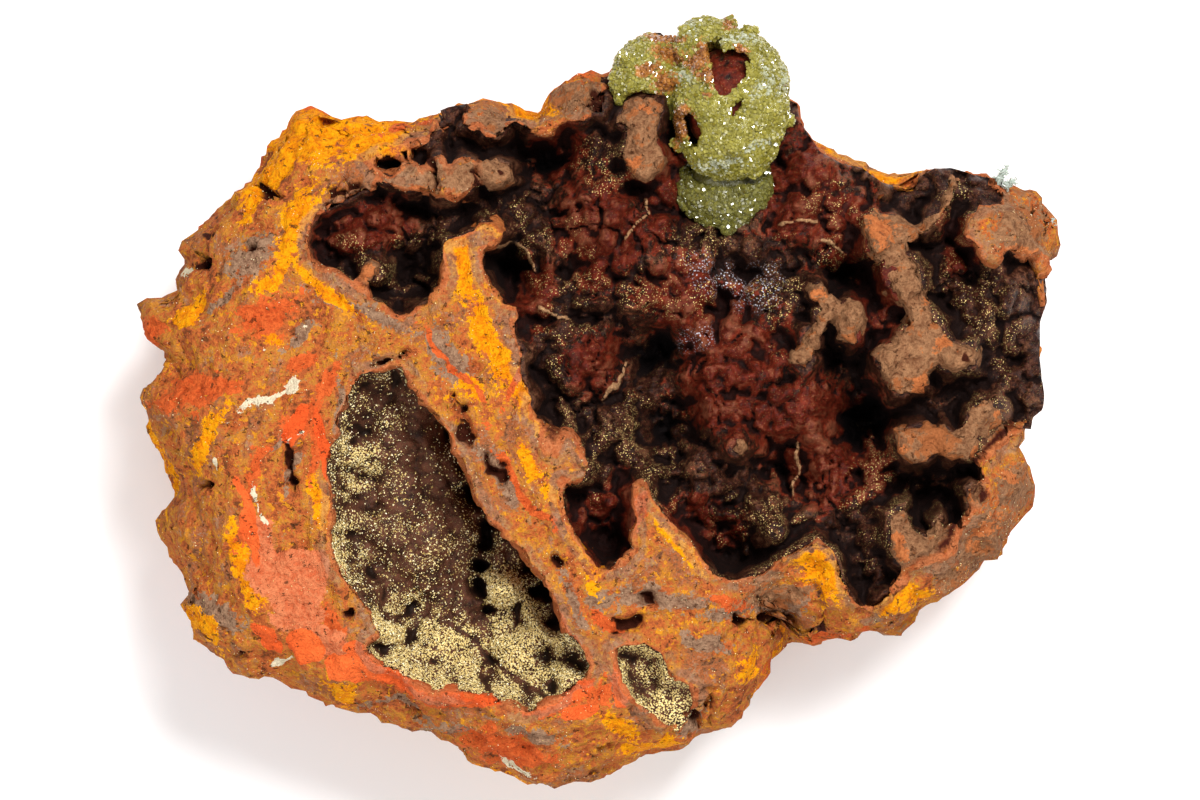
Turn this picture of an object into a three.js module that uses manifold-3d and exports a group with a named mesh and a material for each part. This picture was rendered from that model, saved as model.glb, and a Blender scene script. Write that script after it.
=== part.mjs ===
// A hand-sized mineral specimen. Green austinite has grown as round crusts on a block of
// orange and brown limonite, whose display face opens into three hollows lined with dark
// iron oxide. The block lies on its flat back with the display face up.
// Millimetres: +Z out of the display face, +Y towards the edge with the austinite.

import * as THREE from "three";
import { mergeVertices } from "three/addons/utils/BufferGeometryUtils.js";
import Module from "manifold-3d";

const wasm = await Module();
wasm.setup();

// Every plan point below is [right, down] in millimetres, measured on the display face
// from the corner of a frame drawn round it. The part's x = y = 0 is at this point.
const FRAME_CENTRE = [59.5, 40.0];

// The block
const FACE_HEIGHT = 35; // display face at its middle
const FACE_DOME = 3; // how much lower it lies where the dome below reaches 1
const DOME_REACH = [46, 38];
const RIM_ROLL = 8; // width over which the face rolls off at the rim
const RIM_DROP = 9; // how far it drops there
const FACE_ROUGHNESS = 0.7;
const SIDE_ROUGHNESS = 1.6;
const BLOCK_SIDES = 76;
// Rings of the block, as shares of its reach: across the face, down the side as
// [share, height], and across the flat back
const FACE_SHARES = [0.42, 0.62, 0.78, 0.9, 0.97];
const SIDE_PROFILE = [[0.99, 20.5], [1, 15], [0.95, 8.5], [0.86, 3]];
const BACK_SHARES = [0.74, 0.4];

// The linings
const GAP = 0.3; // between neighbouring pieces
const LINING = 2.4; // thickness of a lining between its lumps
const CELL = 3.3; // mesh size of the hollows' floors and linings
const LUMP_RISE = 0.8; // share of a lump's radius that stands above the lining
const SKY = 60; // above everything

// The austinite
const SKIN = 1.3; // thickness of the green crust over its core
const CRYSTAL = 0.85; // size of the crystals modelled on it

const BLOCK_OUTLINE = [
  [13.2, 30.4], [17.3, 28.8], [17.4, 27.0], [18.2, 26.2], [17.7, 25.0], [24.6, 17.7], [26.9, 14.0],
  [28.5, 12.8], [28.8, 11.2], [30.2, 10.1], [32.0, 10.6], [32.7, 11.6], [36.0, 11.5], [39.8, 11.9],
  [40.8, 12.4], [44.7, 10.3], [47.8, 9.8], [54.0, 11.1], [56.2, 7.6], [58.0, 7.0], [60.4, 7.3],
  [62.0, 6.6], [63.3, 4.2], [64.6, 2.9], [66.2, 2.8], [68.5, 4.6], [73.0, 6.0], [80.1, 10.1],
  [80.4, 12.0], [82.3, 14.9], [84.3, 16.0], [86.4, 16.4], [88.4, 17.9], [91.2, 18.7], [91.6, 17.4],
  [93.2, 16.5], [95.2, 16.3], [99.5, 17.4], [104.0, 19.1], [105.9, 22.2], [105.0, 27.5],
  [105.2, 30.2], [104.5, 32.2], [104.7, 41.2], [103.7, 42.0], [103.5, 43.8], [102.8, 45.0],
  [103.6, 46.8], [103.8, 49.0], [100.2, 55.6], [98.4, 56.0], [97.2, 58.0], [95.6, 59.6],
  [92.8, 61.0], [90.6, 63.9], [87.6, 63.7], [85.4, 64.8], [83.6, 64.2], [81.4, 64.9], [80.2, 64.1],
  [78.5, 61.7], [76.9, 67.6], [74.0, 72.2], [72.6, 73.1], [70.2, 73.6], [69.0, 75.0], [62.6, 76.6],
  [59.8, 77.8], [56.0, 78.5], [52.4, 78.7], [50.4, 77.2], [47.4, 76.6], [45.2, 75.0], [42.8, 73.9],
  [40.0, 73.4], [36.0, 71.3], [34.0, 71.6], [26.6, 68.1], [24.0, 68.0], [22.2, 67.4], [21.4, 66.0],
  [19.0, 64.3], [17.3, 60.8], [18.1, 59.8], [18.0, 58.0], [15.4, 53.4], [15.6, 51.6], [16.8, 49.6],
  [17.0, 48.2], [16.0, 47.0], [13.8, 41.2], [12.8, 40.0], [13.6, 38.6], [16.2, 36.3], [14.0, 33.4],
  [13.3, 32.0],
];

// The large upper hollow, which the top and right edges of the block cut open
const UPPER_HOLLOW = [
  [31.0, 24.3], [32.2, 21.6], [37.9, 18.3], [41.0, 19.3], [42.8, 19.0], [43.6, 19.8], [47.2, 19.5],
  [47.9, 18.0], [47.6, 16.0], [46.6, 15.8], [45.0, 17.4], [44.0, 15.4], [42.2, 17.4], [41.4, 16.2],
  [39.2, 17.5], [37.6, 17.4], [36.8, 16.4], [42.6, 14.3], [45.6, 10.7], [46.4, 10.9], [46.0, 12.6],
  [48.6, 13.9], [50.0, 14.0], [50.9, 12.0], [53.2, 13.4], [60.6, 11.8], [60.4, 8.2], [62.6, 3.6],
  [64.4, 1.6], [66.4, 1.6], [78.0, 7.2], [79.6, 8.6], [81.4, 14.6], [88.0, 18.4], [91.3, 19.2],
  [92.8, 17.1], [94.4, 16.8], [99.8, 18.6], [100.1, 20.2], [96.6, 22.0], [96.3, 23.8],
  [98.8, 26.6], [100.8, 24.9], [103.6, 25.8], [103.3, 39.6], [102.8, 41.4], [97.8, 46.8],
  [99.4, 49.8], [97.0, 50.8], [94.8, 54.6], [90.4, 57.2], [86.8, 61.4], [84.6, 58.6], [83.2, 54.6],
  [81.6, 53.6], [75.6, 57.4], [71.6, 57.6], [64.0, 48.0], [63.3, 49.2], [63.5, 54.8], [60.2, 57.1],
  [57.4, 53.4], [56.0, 49.2], [56.2, 48.0], [58.6, 48.0], [59.0, 46.8], [56.6, 43.0], [55.6, 45.4],
  [54.6, 45.2], [54.4, 42.4], [53.2, 41.6], [53.4, 40.0], [52.2, 37.0], [52.6, 35.2], [51.3, 32.2],
  [52.0, 31.0], [50.6, 30.6], [48.4, 27.0], [48.1, 25.2], [50.4, 23.8], [49.2, 22.3], [44.2, 23.9],
  [44.4, 29.2], [40.4, 31.8], [33.6, 27.2], [32.0, 26.9],
];

// The lower hollow under the ridge, and the small one beside it
const LOWER_HOLLOW = [
  [36.4, 37.4], [38.2, 37.2], [39.4, 36.4], [40.2, 36.6], [44.9, 43.2], [48.7, 51.6], [51.6, 54.2],
  [54.8, 58.4], [56.8, 63.8], [58.6, 64.8], [59.2, 66.2], [58.8, 67.4], [56.3, 68.4], [56.0, 69.6],
  [52.8, 70.9], [47.4, 68.9], [43.4, 69.0], [37.8, 65.8], [36.8, 64.8], [36.9, 63.8], [38.2, 63.3],
  [36.6, 59.8], [33.6, 56.0], [33.1, 54.2], [33.5, 49.0], [33.0, 47.0], [34.2, 41.4],
];
const SMALL_HOLLOW = [
  [61.2, 65.0], [62.6, 64.3], [64.6, 64.4], [66.0, 65.2], [66.8, 67.8], [69.5, 68.8], [69.2, 70.2],
  [67.6, 72.6], [66.2, 72.2], [63.4, 69.8], [62.4, 68.6],
];

// Limonite that stands up to the display face inside the upper hollow
const ISLANDS = [
  // the stepped ridge beside the austinite
  [
    [61.4, 12.2], [62.8, 9.8], [64.0, 9.2], [66.2, 10.0], [66.4, 11.4], [65.2, 13.9], [66.5, 15.8],
    [65.8, 17.0], [64.6, 17.7], [63.4, 17.5], [62.0, 15.4], [62.8, 13.2],
  ],
  // the large patch right of the middle, and the two above it
  [
    [90.5, 30.4], [91.6, 29.6], [95.4, 34.0], [97.2, 34.2], [97.6, 35.6], [97.2, 36.8],
    [95.6, 37.3], [93.0, 36.4], [91.8, 39.0], [89.2, 39.8], [87.3, 35.6], [88.2, 34.6],
    [89.3, 34.4], [89.6, 33.2], [91.6, 31.6],
  ],
  [
    [87.8, 26.4], [88.6, 25.4], [90.2, 25.0], [91.6, 25.6], [92.4, 28.8], [90.6, 30.6],
    [88.4, 28.8],
  ],
  [
    [86.4, 25.2], [86.4, 22.0], [87.4, 20.7], [88.2, 21.4], [89.4, 21.2], [90.4, 22.6],
    [92.2, 23.2], [91.2, 24.2], [89.8, 24.2], [87.6, 25.8],
  ],
  // the thin wall that climbs from them to the top edge
  [[91.8, 23.2], [95.4, 17.2], [96.2, 17.6], [93.4, 22.6], [92.4, 23.8]],
  // the curled patch
  [
    [81.2, 31.2], [82.2, 30.5], [84.8, 30.0], [85.8, 30.6], [86.0, 34.2], [85.2, 34.6],
    [84.2, 33.9], [84.0, 32.6], [83.0, 31.8], [82.2, 32.5], [81.4, 32.3],
  ],
  // the long patch low on the right
  [
    [89.6, 43.2], [90.6, 42.4], [92.0, 42.3], [93.0, 42.8], [94.4, 42.6], [95.6, 43.4],
    [96.8, 41.0], [98.0, 40.2], [99.6, 39.9], [101.0, 40.5], [100.8, 41.8], [96.8, 46.0],
    [93.6, 45.3], [92.6, 46.2], [91.0, 46.3], [90.0, 45.2],
  ],
  // the patch above the lower right rim, and the knob and hook beside it
  [
    [88.5, 51.2], [90.6, 50.0], [90.4, 51.4], [91.0, 52.6], [93.4, 54.6], [90.2, 57.0],
    [89.2, 56.2],
  ],
  [[92.9, 52.2], [94.0, 51.3], [94.6, 52.3], [94.2, 53.4], [93.2, 53.3]],
  [[96.6, 49.9], [96.3, 48.6], [97.0, 48.0], [97.7, 48.4], [97.2, 50.8], [96.5, 51.2]],
  // the square patch by the top rim
  [
    [47.9, 17.0], [50.0, 16.1], [50.9, 16.5], [51.0, 17.8], [50.0, 18.4], [48.8, 18.3],
    [48.0, 18.0],
  ],
];

// Round pegs of limonite in the hollow: [right, down, radius]
const PEGS = [
  [37.4, 27.2, 1.25], [80.8, 33.8, 1.1], [80.3, 36.2, 1.15], [81.6, 29.0, 0.85],
  [73.6, 44.8, 0.75], [77.5, 53.0, 0.8],
];

// Hollow floors: [right, down, reach, depth below the floor's general level]
const UPPER_DIPS = [
  [72.6, 19.2, 7.0, 3], [71.0, 9.0, 9.0, 3],
  [65.2, 36.0, 5.5, 8], [66.6, 42.6, 5.0, 8], [84.8, 35.6, 4.5, 5], [86.2, 41.8, 5.5, 8],
  [54.4, 15.4, 6.0, 6], [50.4, 27.0, 4.5, 6], [41.4, 26.6, 4.0, 4], [60.0, 53.0, 5.0, 5],
  [73.4, 55.4, 5.0, 4], [84.6, 28.4, 4.0, 4], [78.6, 47.4, 5.0, 5], [92.8, 50.0, 5.0, 3],
];
const UPPER_SWELLS = [
  [64.0, 26.0, 9, 1.2], [79.0, 38.0, 8, 2.0], [57.0, 35.0, 5, 1.5], [72.0, 42.0, 5, 2.0],
  [100.0, 32.0, 6, 1.5], [60.0, 20.0, 5, 2.0],
];
const LOWER_DIPS = [
  [45.6, 47.6, 4.4, 9], [51.4, 56.4, 3.6, 11], [43.6, 42.6, 3.4, 6], [48.0, 61.0, 2.0, 5],
];
const LOWER_SWELLS = [
  [39.0, 54.0, 6, 3], [44.0, 66.0, 6, 5], [52.0, 66.0, 5, 5], [36.0, 60.0, 4, 4],
  [36.0, 45.0, 4, 3],
];
const UPPER_FLOOR = 24.6; // height of the floor at the middle of the block
const LOWER_FLOOR = 18.5;
const SMALL_FLOOR = 26.5;
const FLOOR_DOME = 4.5; // how much lower it lies where the dome reaches 1

// Round lumps of the linings: [right, down, radius]
const UPPER_LUMPS = [
  [62.0, 23.4, 4.3], [58.2, 21.6, 3.0], [66.4, 24.6, 3.6], [70.4, 24.2, 2.8], [75.0, 24.0, 2.6],
  [68.6, 28.8, 3.4], [64.0, 29.0, 3.0], [59.2, 29.2, 3.2], [55.6, 30.6, 2.5], [55.4, 34.6, 3.1],
  [59.4, 35.2, 2.8], [57.4, 38.0, 2.4], [77.2, 29.8, 3.8], [74.2, 33.4, 3.4], [76.6, 37.0, 3.0],
  [72.4, 37.2, 2.7], [71.0, 33.4, 2.2], [70.6, 40.6, 2.4], [67.8, 43.2, 2.1], [64.6, 46.2, 2.3],
  [73.6, 44.6, 2.8], [75.4, 41.6, 2.4], [70.4, 47.4, 2.8], [68.6, 50.0, 2.2], [79.4, 40.6, 3.4],
  [82.2, 42.4, 3.2], [80.4, 46.0, 2.8], [83.2, 45.0, 2.2], [77.2, 50.2, 2.8], [75.2, 53.2, 2.2],
  [80.4, 50.4, 2.3], [83.4, 52.0, 2.2], [86.2, 50.0, 2.3], [82.0, 17.6, 3.2], [80.2, 20.6, 2.4],
  [84.8, 21.2, 2.6], [82.8, 25.2, 2.4], [79.8, 23.4, 2.0], [93.4, 18.6, 1.9], [97.8, 19.2, 2.0],
  [94.6, 27.4, 2.8], [96.8, 30.6, 2.6], [100.4, 29.2, 2.8], [102.8, 28.4, 2.0], [102.2, 33.2, 2.4],
  [100.2, 37.4, 2.4], [59.2, 15.2, 2.2], [61.0, 18.6, 2.2], [57.0, 18.2, 1.9], [45.4, 21.8, 2.0],
  [51.2, 21.6, 2.2], [53.2, 24.2, 1.9], [42.2, 24.2, 1.9], [35.2, 23.8, 2.4], [38.0, 21.8, 2.2],
  [67.4, 18.6, 2.2], [60.4, 43.0, 2.2], [88.4, 48.2, 2.0], [94.4, 39.0, 2.0], [72.0, 20.0, 2.2],
  [76.0, 20.4, 2.0],
];
const LOWER_LUMPS = [
  [39.2, 43.2, 4.2], [41.8, 52.0, 4.8], [40.2, 58.6, 4.0], [45.0, 64.6, 3.8], [47.0, 60.8, 2.6],
  [50.0, 58.6, 2.9], [54.2, 65.2, 3.9], [39.0, 64.0, 2.6], [36.2, 55.4, 2.4], [35.6, 48.4, 2.6],
  [50.0, 67.4, 2.8], [38.6, 39.2, 1.9], [56.6, 65.6, 1.6],
];
const SMALL_LUMPS = [[64.4, 66.4, 1.7], [66.8, 70.2, 1.9], [63.0, 65.8, 1.1]];

// Pits in the limonite: [right, down, long half, short half, turn in degrees, depth]
const PITS = [
  [26.8, 18.9, 1.3, 0.7, -22, 1.4], [20.8, 22.8, 1.2, 0.8, -50, 1.2], [19.8, 25.8, 1.2, 0.7, 75, 1.2],
  [34.6, 19.2, 1.1, 0.9, 20, 1.4], [46.8, 43.2, 1.6, 0.6, 60, 1.6], [49.4, 47.4, 1.5, 0.9, 20, 1.4],
  [65.2, 59.6, 0.8, 1.2, 20, 2.6], [62.4, 62.4, 1.3, 0.9, 0, 2.2], [70.2, 70.9, 1.9, 0.9, -58, 3.4],
  [75.0, 62.4, 3.6, 0.9, -6, 3.6], [72.4, 65.0, 1.5, 0.7, -50, 2.4], [81.8, 62.8, 1.7, 1.3, 0, 2.8],
  [59.8, 9.9, 1.3, 1.9, 10, 4.2], [101.8, 49.4, 1.1, 0.6, -20, 1.8], [96.6, 57.0, 1.3, 0.6, -25, 1.6],
  [29.4, 46.6, 0.6, 1.9, -8, 1.6],
];

// Masses that stand on the face: [right, down, radius, height above the face]
const KNOBS = [
  [58.0, 9.4, 2.4, 1.6], [81.6, 55.8, 2.8, 0.9], [31.0, 14.4, 3.6, 0.8], [46.8, 26.8, 1.9, 0.9],
  [27.0, 34.0, 6.0, 0.8], [89.8, 62.4, 1.9, 1.0], [101.4, 22.4, 2.6, 1.0], [50.0, 37.0, 3.0, 0.8],
];

// The austinite's balls: centre [right, down, height] and radii
const MAIN_BALL = { at: [73.0, 10.5, 28.2], radii: [6.0, 7.5, 6.6] };
const CREST = { at: [70.8, 4.9, 27.0], radii: [3.6, 3.1, 4.4] };
const LEFT_BALL = { at: [64.8, 8.2, 25.4], radii: [3.9, 4.7, 5.2] };
const LOWER_BALL = { at: [72.4, 19.0, 24.6], radii: [5.4, 4.6, 4.6] };
const CORE_NECK = 3.2; // radius of the stalk on which the main ball's core stands
// Windows where the green crust is missing: [right, down, half width, half height, turn]
const WINDOWS = [
  [72.9, 7.4, 1.8, 2.6, 18], [71.2, 5.6, 0.7, 1.6, -12], [69.1, 12.8, 0.9, 1.9, -16],
  [73.7, 10.6, 0.4, 0.9, 35],
];

// Pale crystals on the rim: [right, down, height, length, lean right, lean up]
const TOP_TUFT = [
  [99.2, 18.2, 22.6, 2.4, 0.1, 1.0], [99.9, 18.4, 23.0, 2.4, 0.5, 0.9], [98.7, 18.8, 23.4, 1.7, -0.4, 0.8],
  [100.5, 19.0, 23.0, 1.9, 0.7, 0.5], [101.0, 19.9, 23.6, 1.7, 0.5, 0.2], [99.6, 18.9, 24.0, 1.7, 0.1, 0.3],
];
const SIDE_TUFT = [
  [105.0, 23.2, 21.4, 1.4, 0.9, 0.3], [104.9, 24.1, 21.8, 1.6, 1.0, 0.0], [105.0, 23.8, 22.6, 1.3, 0.9, 0.2],
  [104.6, 22.7, 22.4, 1.4, 0.6, 0.8],
];

const COLOURS = {
  limonite: { color: 0xa8602c, roughness: 0.9, metalness: 0 },
  goethite: { color: 0x3a1410, roughness: 0.6, metalness: 0 },
  goldDruse: { color: 0x9a8350, roughness: 0.5, metalness: 0 },
  austinite: { color: 0x9aa24a, roughness: 0.3, metalness: 0 },
  paleAustinite: { color: 0xbfd0bb, roughness: 0.25, metalness: 0 },
};

const inFrame = ([right, down]) => [right - FRAME_CENTRE[0], FRAME_CENTRE[1] - down];

// Noise: smooth, repeatable, about -1 to 1

function cornerValue(i, j, k) {
  let h = (i * 374761393 + j * 668265263 + k * 2147483647) | 0;
  h = Math.imul(h ^ (h >>> 13), 1274126177);
  return (((h ^ (h >>> 16)) >>> 0) / 4294967295) * 2 - 1;
}

function noise(x, y, z) {
  const cell = [x, y, z].map(Math.floor);
  const ease = [x, y, z].map((value, axis) => {
    const t = value - cell[axis];
    return t * t * (3 - 2 * t);
  });
  let total = 0;
  for (let corner = 0; corner < 8; corner++) {
    const step = [corner & 1, (corner >> 1) & 1, corner >> 2];
    const weight = step.reduce((w, s, axis) => w * (s ? ease[axis] : 1 - ease[axis]), 1);
    total += weight * cornerValue(cell[0] + step[0], cell[1] + step[1], cell[2] + step[2]);
  }
  return total;
}

const roughness = (x, y, z, size) =>
  noise(x / size, y / size, z / size) + 0.5 * noise((2.1 * x) / size, (2.1 * y) / size, (2.1 * z) / size);

// Smooth hump, 1 at its centre and 0 from its reach outwards
function hump(distance, reach) {
  const t = Math.min(distance / reach, 1);
  return (1 - t * t) ** 2;
}

const humps = (list, x, y) =>
  list.reduce((sum, [right, down, reach, size]) => {
    const [cx, cy] = inFrame([right, down]);
    return sum + size * hump(Math.hypot(x - cx, y - cy), reach);
  }, 0);

// Solids from three.js geometry and back

function solidOf(geometry) {
  const bare = new THREE.BufferGeometry().setAttribute("position", geometry.getAttribute("position"));
  if (geometry.index) bare.setIndex(geometry.index);
  const merged = mergeVertices(bare, 1e-4);
  return new wasm.Manifold(
    new wasm.Mesh({
      numProp: 3,
      vertProperties: new Float32Array(merged.attributes.position.array),
      triVerts: new Uint32Array(merged.index.array),
    }),
  );
}

function geometryOf(solid) {
  const mesh = solid.getMesh();
  const geometry = new THREE.BufferGeometry();
  geometry.setAttribute("position", new THREE.BufferAttribute(new Float32Array(mesh.vertProperties), 3));
  geometry.setIndex(new THREE.BufferAttribute(new Uint32Array(mesh.triVerts), 1));
  geometry.computeVertexNormals();
  return geometry;
}

const joined = (solids) => solids.reduce((whole, next) => whole.add(next));

function largestBodyOf(solid) {
  return solid.decompose().sort((a, b) => b.volume() - a.volume())[0];
}

function moveVertices(geometry, move) {
  const position = geometry.getAttribute("position");
  const point = new THREE.Vector3();
  for (let i = 0; i < position.count; i++) {
    point.fromBufferAttribute(position, i);
    move(point);
    position.setXYZ(i, point.x, point.y, point.z);
  }
  return geometry;
}

// Upright prism over a plan outline, which is given in the part's own x and y
function prism(outline, low, high) {
  const shape = new THREE.Shape(outline.map(([x, y]) => new THREE.Vector2(x, y)));
  const geometry = new THREE.ExtrudeGeometry(shape, { depth: high - low, bevelEnabled: false, steps: 1 });
  return solidOf(geometry.translate(0, 0, low));
}

function distanceToOutline([x, y], outline) {
  return outline.reduce((least, [ax, ay], i) => {
    const [bx, by] = outline[(i + 1) % outline.length];
    const [ux, uy] = [bx - ax, by - ay];
    const along = ((x - ax) * ux + (y - ay) * uy) / (ux * ux + uy * uy);
    const t = THREE.MathUtils.clamp(along, 0, 1);
    return Math.min(least, Math.hypot(x - ax - t * ux, y - ay - t * uy));
  }, Infinity);
}

// The outline moved outwards by a distance, or inwards where it is negative. Corners that
// would fold over a narrow place are left out.
function offsetOutline(outline, distance) {
  if (distance === 0) return outline;
  const turn = Math.sign(THREE.ShapeUtils.area(outline.map(([x, y]) => ({ x, y }))));
  const moved = outline.map(([x, y], i) => {
    const [px, py] = outline[(i + outline.length - 1) % outline.length];
    const [nx, ny] = outline[(i + 1) % outline.length];
    const length = Math.hypot(nx - px, ny - py) || 1;
    return [x + (turn * distance * (ny - py)) / length, y - (turn * distance * (nx - px)) / length];
  });
  return moved.filter((point) => distanceToOutline(point, outline) > 0.75 * Math.abs(distance));
}

// The block

const blockOutline = BLOCK_OUTLINE.map(inFrame);

// How far the outline reaches from the middle in a direction
function reachAt(angle) {
  const [dx, dy] = [Math.cos(angle), Math.sin(angle)];
  let best = 0;
  blockOutline.forEach(([ax, ay], i) => {
    const [bx, by] = blockOutline[(i + 1) % blockOutline.length];
    const across = (bx - ax) * dy - (by - ay) * dx;
    if (Math.abs(across) < 1e-9) return;
    const share = (ay * dx - ax * dy) / across;
    const along = ((bx - ax) * share + ax) * dx + ((by - ay) * share + ay) * dy;
    if (share >= 0 && share <= 1 && along > best) best = along;
  });
  return best;
}

// The reach evened out over a few degrees, for the rings that don't show the rim's steps
const EVENING = [-0.24, -0.12, 0, 0.12, 0.24];
const evenReachAt = (angle) =>
  EVENING.reduce((sum, turn) => sum + reachAt(angle + turn), 0) / EVENING.length;

const dome = (x, y) => (x / DOME_REACH[0]) ** 2 + (y / DOME_REACH[1]) ** 2;

function faceHeight(x, y) {
  const rim = 1 - Math.min(distanceToOutline([x, y], blockOutline) / RIM_ROLL, 1);
  const rough = FACE_ROUGHNESS * roughness(x, y, 0, 6);
  return FACE_HEIGHT - FACE_DOME * dome(x, y) - RIM_DROP * rim ** 2 + rough + humps(KNOBS, x, y);
}

// Rings from the middle of the face over the rim, down the side and in across the back
const RINGS = [
  ...FACE_SHARES.map((share) => ({ share, even: share < 0.8 ? 1 : 0 })),
  ...SIDE_PROFILE.map(([share, height], i) => ({ share, height, even: i > 1 ? 0.7 : 0 })),
  ...BACK_SHARES.map((share) => ({ share, height: 0, even: 1 })),
];

function makeBlock() {
  const geometry = new THREE.SphereGeometry(1, BLOCK_SIDES, RINGS.length + 1);
  return solidOf(
    moveVertices(geometry, (p) => {
      const step = Math.round((Math.acos(THREE.MathUtils.clamp(p.y, -1, 1)) / Math.PI) * (RINGS.length + 1));
      const angle = Math.atan2(-p.z, p.x);
      const ring = RINGS[step - 1] ?? { share: 0, even: 0, height: step === 0 ? undefined : 0 };
      const reach = ring.share * THREE.MathUtils.lerp(reachAt(angle), evenReachAt(angle), ring.even);
      p.set(reach * Math.cos(angle), reach * Math.sin(angle), ring.height ?? 0);
      if (ring.height === undefined) p.z = faceHeight(p.x, p.y);
      if (ring.height > 0 && ring.share !== 1) {
        const dent = SIDE_ROUGHNESS * roughness(p.x, p.y, p.z, 8) - 0.5;
        p.x += dent * Math.cos(angle);
        p.y += dent * Math.sin(angle);
        p.z += 0.4 * dent;
      }
    }),
  );
}

const block = makeBlock();

// The hollows: a floor under the display face, and everything above it inside an outline

function hollow(outline, level, dips, swells, lumps) {
  const plan = outline.map(inFrame);
  const floorAt = (x, y) => level - FLOOR_DOME * dome(x, y) - humps(dips, x, y) + humps(swells, x, y);
  const liningAt = (x, y) => floorAt(x, y) + LINING + lumpHeight(lumps, x, y);
  return { plan, floorAt, liningAt };
}

// How far the highest lump stands above the lining's general surface
function lumpHeight(lumps, x, y) {
  return lumps.reduce((highest, [right, down, radius]) => {
    const [cx, cy] = inFrame([right, down]);
    const inside = radius ** 2 - (x - cx) ** 2 - (y - cy) ** 2;
    return inside > 0 ? Math.max(highest, Math.sqrt(inside) - (1 - LUMP_RISE) * radius) : highest;
  }, 0);
}

// Everything over a surface, as a block whose underside is that surface
function over({ plan }, heightAt) {
  const box = new THREE.Box2().setFromPoints(plan.map(([x, y]) => new THREE.Vector2(x, y)));
  const size = box.getSize(new THREE.Vector2()).addScalar(2 * CELL);
  const centre = box.getCenter(new THREE.Vector2());
  const cells = [Math.ceil(size.x / CELL), Math.ceil(size.y / CELL)];
  const slab = new THREE.BoxGeometry(size.x, size.y, 1, cells[0], cells[1], 1);
  return solidOf(
    moveVertices(slab, (p) => {
      p.x += centre.x;
      p.y += centre.y;
      p.z = p.z > 0 ? SKY : heightAt(p.x, p.y);
    }),
  );
}

// The room above a hollow's floor, from a level over it and clear of the walls
function roomIn(space, raised, clear) {
  const walls = prism(offsetOutline(space.plan, -clear), -1, SKY - 1);
  return over(space, (x, y) => space.floorAt(x, y) + raised).intersect(walls);
}

function liningOf(space, extra = 0) {
  const surface = (x, y) => space.liningAt(x, y) + extra;
  return roomIn(space, GAP, GAP - extra).subtract(over(space, surface));
}

const upperHollow = hollow(UPPER_HOLLOW, UPPER_FLOOR, UPPER_DIPS, UPPER_SWELLS, UPPER_LUMPS);
const lowerHollow = hollow(LOWER_HOLLOW, LOWER_FLOOR, LOWER_DIPS, LOWER_SWELLS, LOWER_LUMPS);
const smallHollow = hollow(SMALL_HOLLOW, SMALL_FLOOR, [], [], SMALL_LUMPS);

const pegOutline = ([right, down, radius]) =>
  new THREE.EllipseCurve(right, down, radius, radius).getPoints(6).slice(0, 6).map((p) => [p.x, p.y]);
const islandPlans = [...ISLANDS, ...PEGS.map(pegOutline)].map((outline) => outline.map(inFrame));
const islandPrisms = (grow) => joined(islandPlans.map((plan) => prism(offsetOutline(plan, grow), -1, SKY)));

const upperRoom = (raised, clear) => roomIn(upperHollow, raised, clear).subtract(islandPrisms(clear));

function pitTools() {
  return joined(
    PITS.map(([right, down, long, short, turn, depth]) => {
      const [x, y] = inFrame([right, down]);
      const bowl = new THREE.IcosahedronGeometry(1, 0).rotateX(0.4);
      bowl.scale(1.1 * long, 1.1 * short, depth).rotateZ(THREE.MathUtils.degToRad(-turn));
      return solidOf(bowl.translate(x, y, faceHeight(x, y)));
    }),
  );
}

function makeLimonite() {
  const rooms = [upperRoom(0, 0), roomIn(lowerHollow, 0, 0), roomIn(smallHollow, 0, 0), pitTools()];
  return largestBodyOf(rooms.reduce((rest, room) => rest.subtract(room), block));
}

function makeUpperLining() {
  const core = coreOf(0).intersect(upperRoom(GAP, GAP));
  return largestBodyOf(liningOf(upperHollow).subtract(islandPrisms(GAP)).intersect(block).add(core));
}

// The austinite

function ball({ at, radii }, extra, detail) {
  const [x, y] = inFrame(at);
  const shape = new THREE.IcosahedronGeometry(1, detail);
  moveVertices(shape, (p) => {
    const swell = 1 + 0.05 * roughness(p.x, p.y, p.z, 0.5);
    p.set(p.x * (radii[0] * swell + extra), p.y * (radii[1] * swell + extra), p.z * (radii[2] * swell + extra));
  });
  return solidOf(shape.translate(x, y, at[2]));
}

// The iron oxide knob that the main ball has grown over, on its stalk
function coreOf(extra) {
  const [x, y] = inFrame(MAIN_BALL.at);
  const foot = upperHollow.floorAt(x, y) + GAP + 0.5;
  const stalkHeight = MAIN_BALL.at[2] - foot;
  const stalk = new THREE.CylinderGeometry(CORE_NECK + extra, CORE_NECK + extra, stalkHeight, 10);
  stalk.rotateX(Math.PI / 2).translate(x, y, foot + stalkHeight / 2);
  return ball(MAIN_BALL, extra - SKIN - GAP, 1).add(solidOf(stalk));
}

function windowTools() {
  return joined(
    WINDOWS.map(([right, down, halfWide, halfHigh, turn]) => {
      const [x, y] = inFrame([right, down]);
      const tool = new THREE.CylinderGeometry(1, 1, 20, 7).rotateX(Math.PI / 2);
      tool.scale(halfWide, halfHigh, 1).rotateZ(THREE.MathUtils.degToRad(-turn));
      return solidOf(tool.translate(x, y, MAIN_BALL.at[2] + 10.5));
    }),
  );
}

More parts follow.
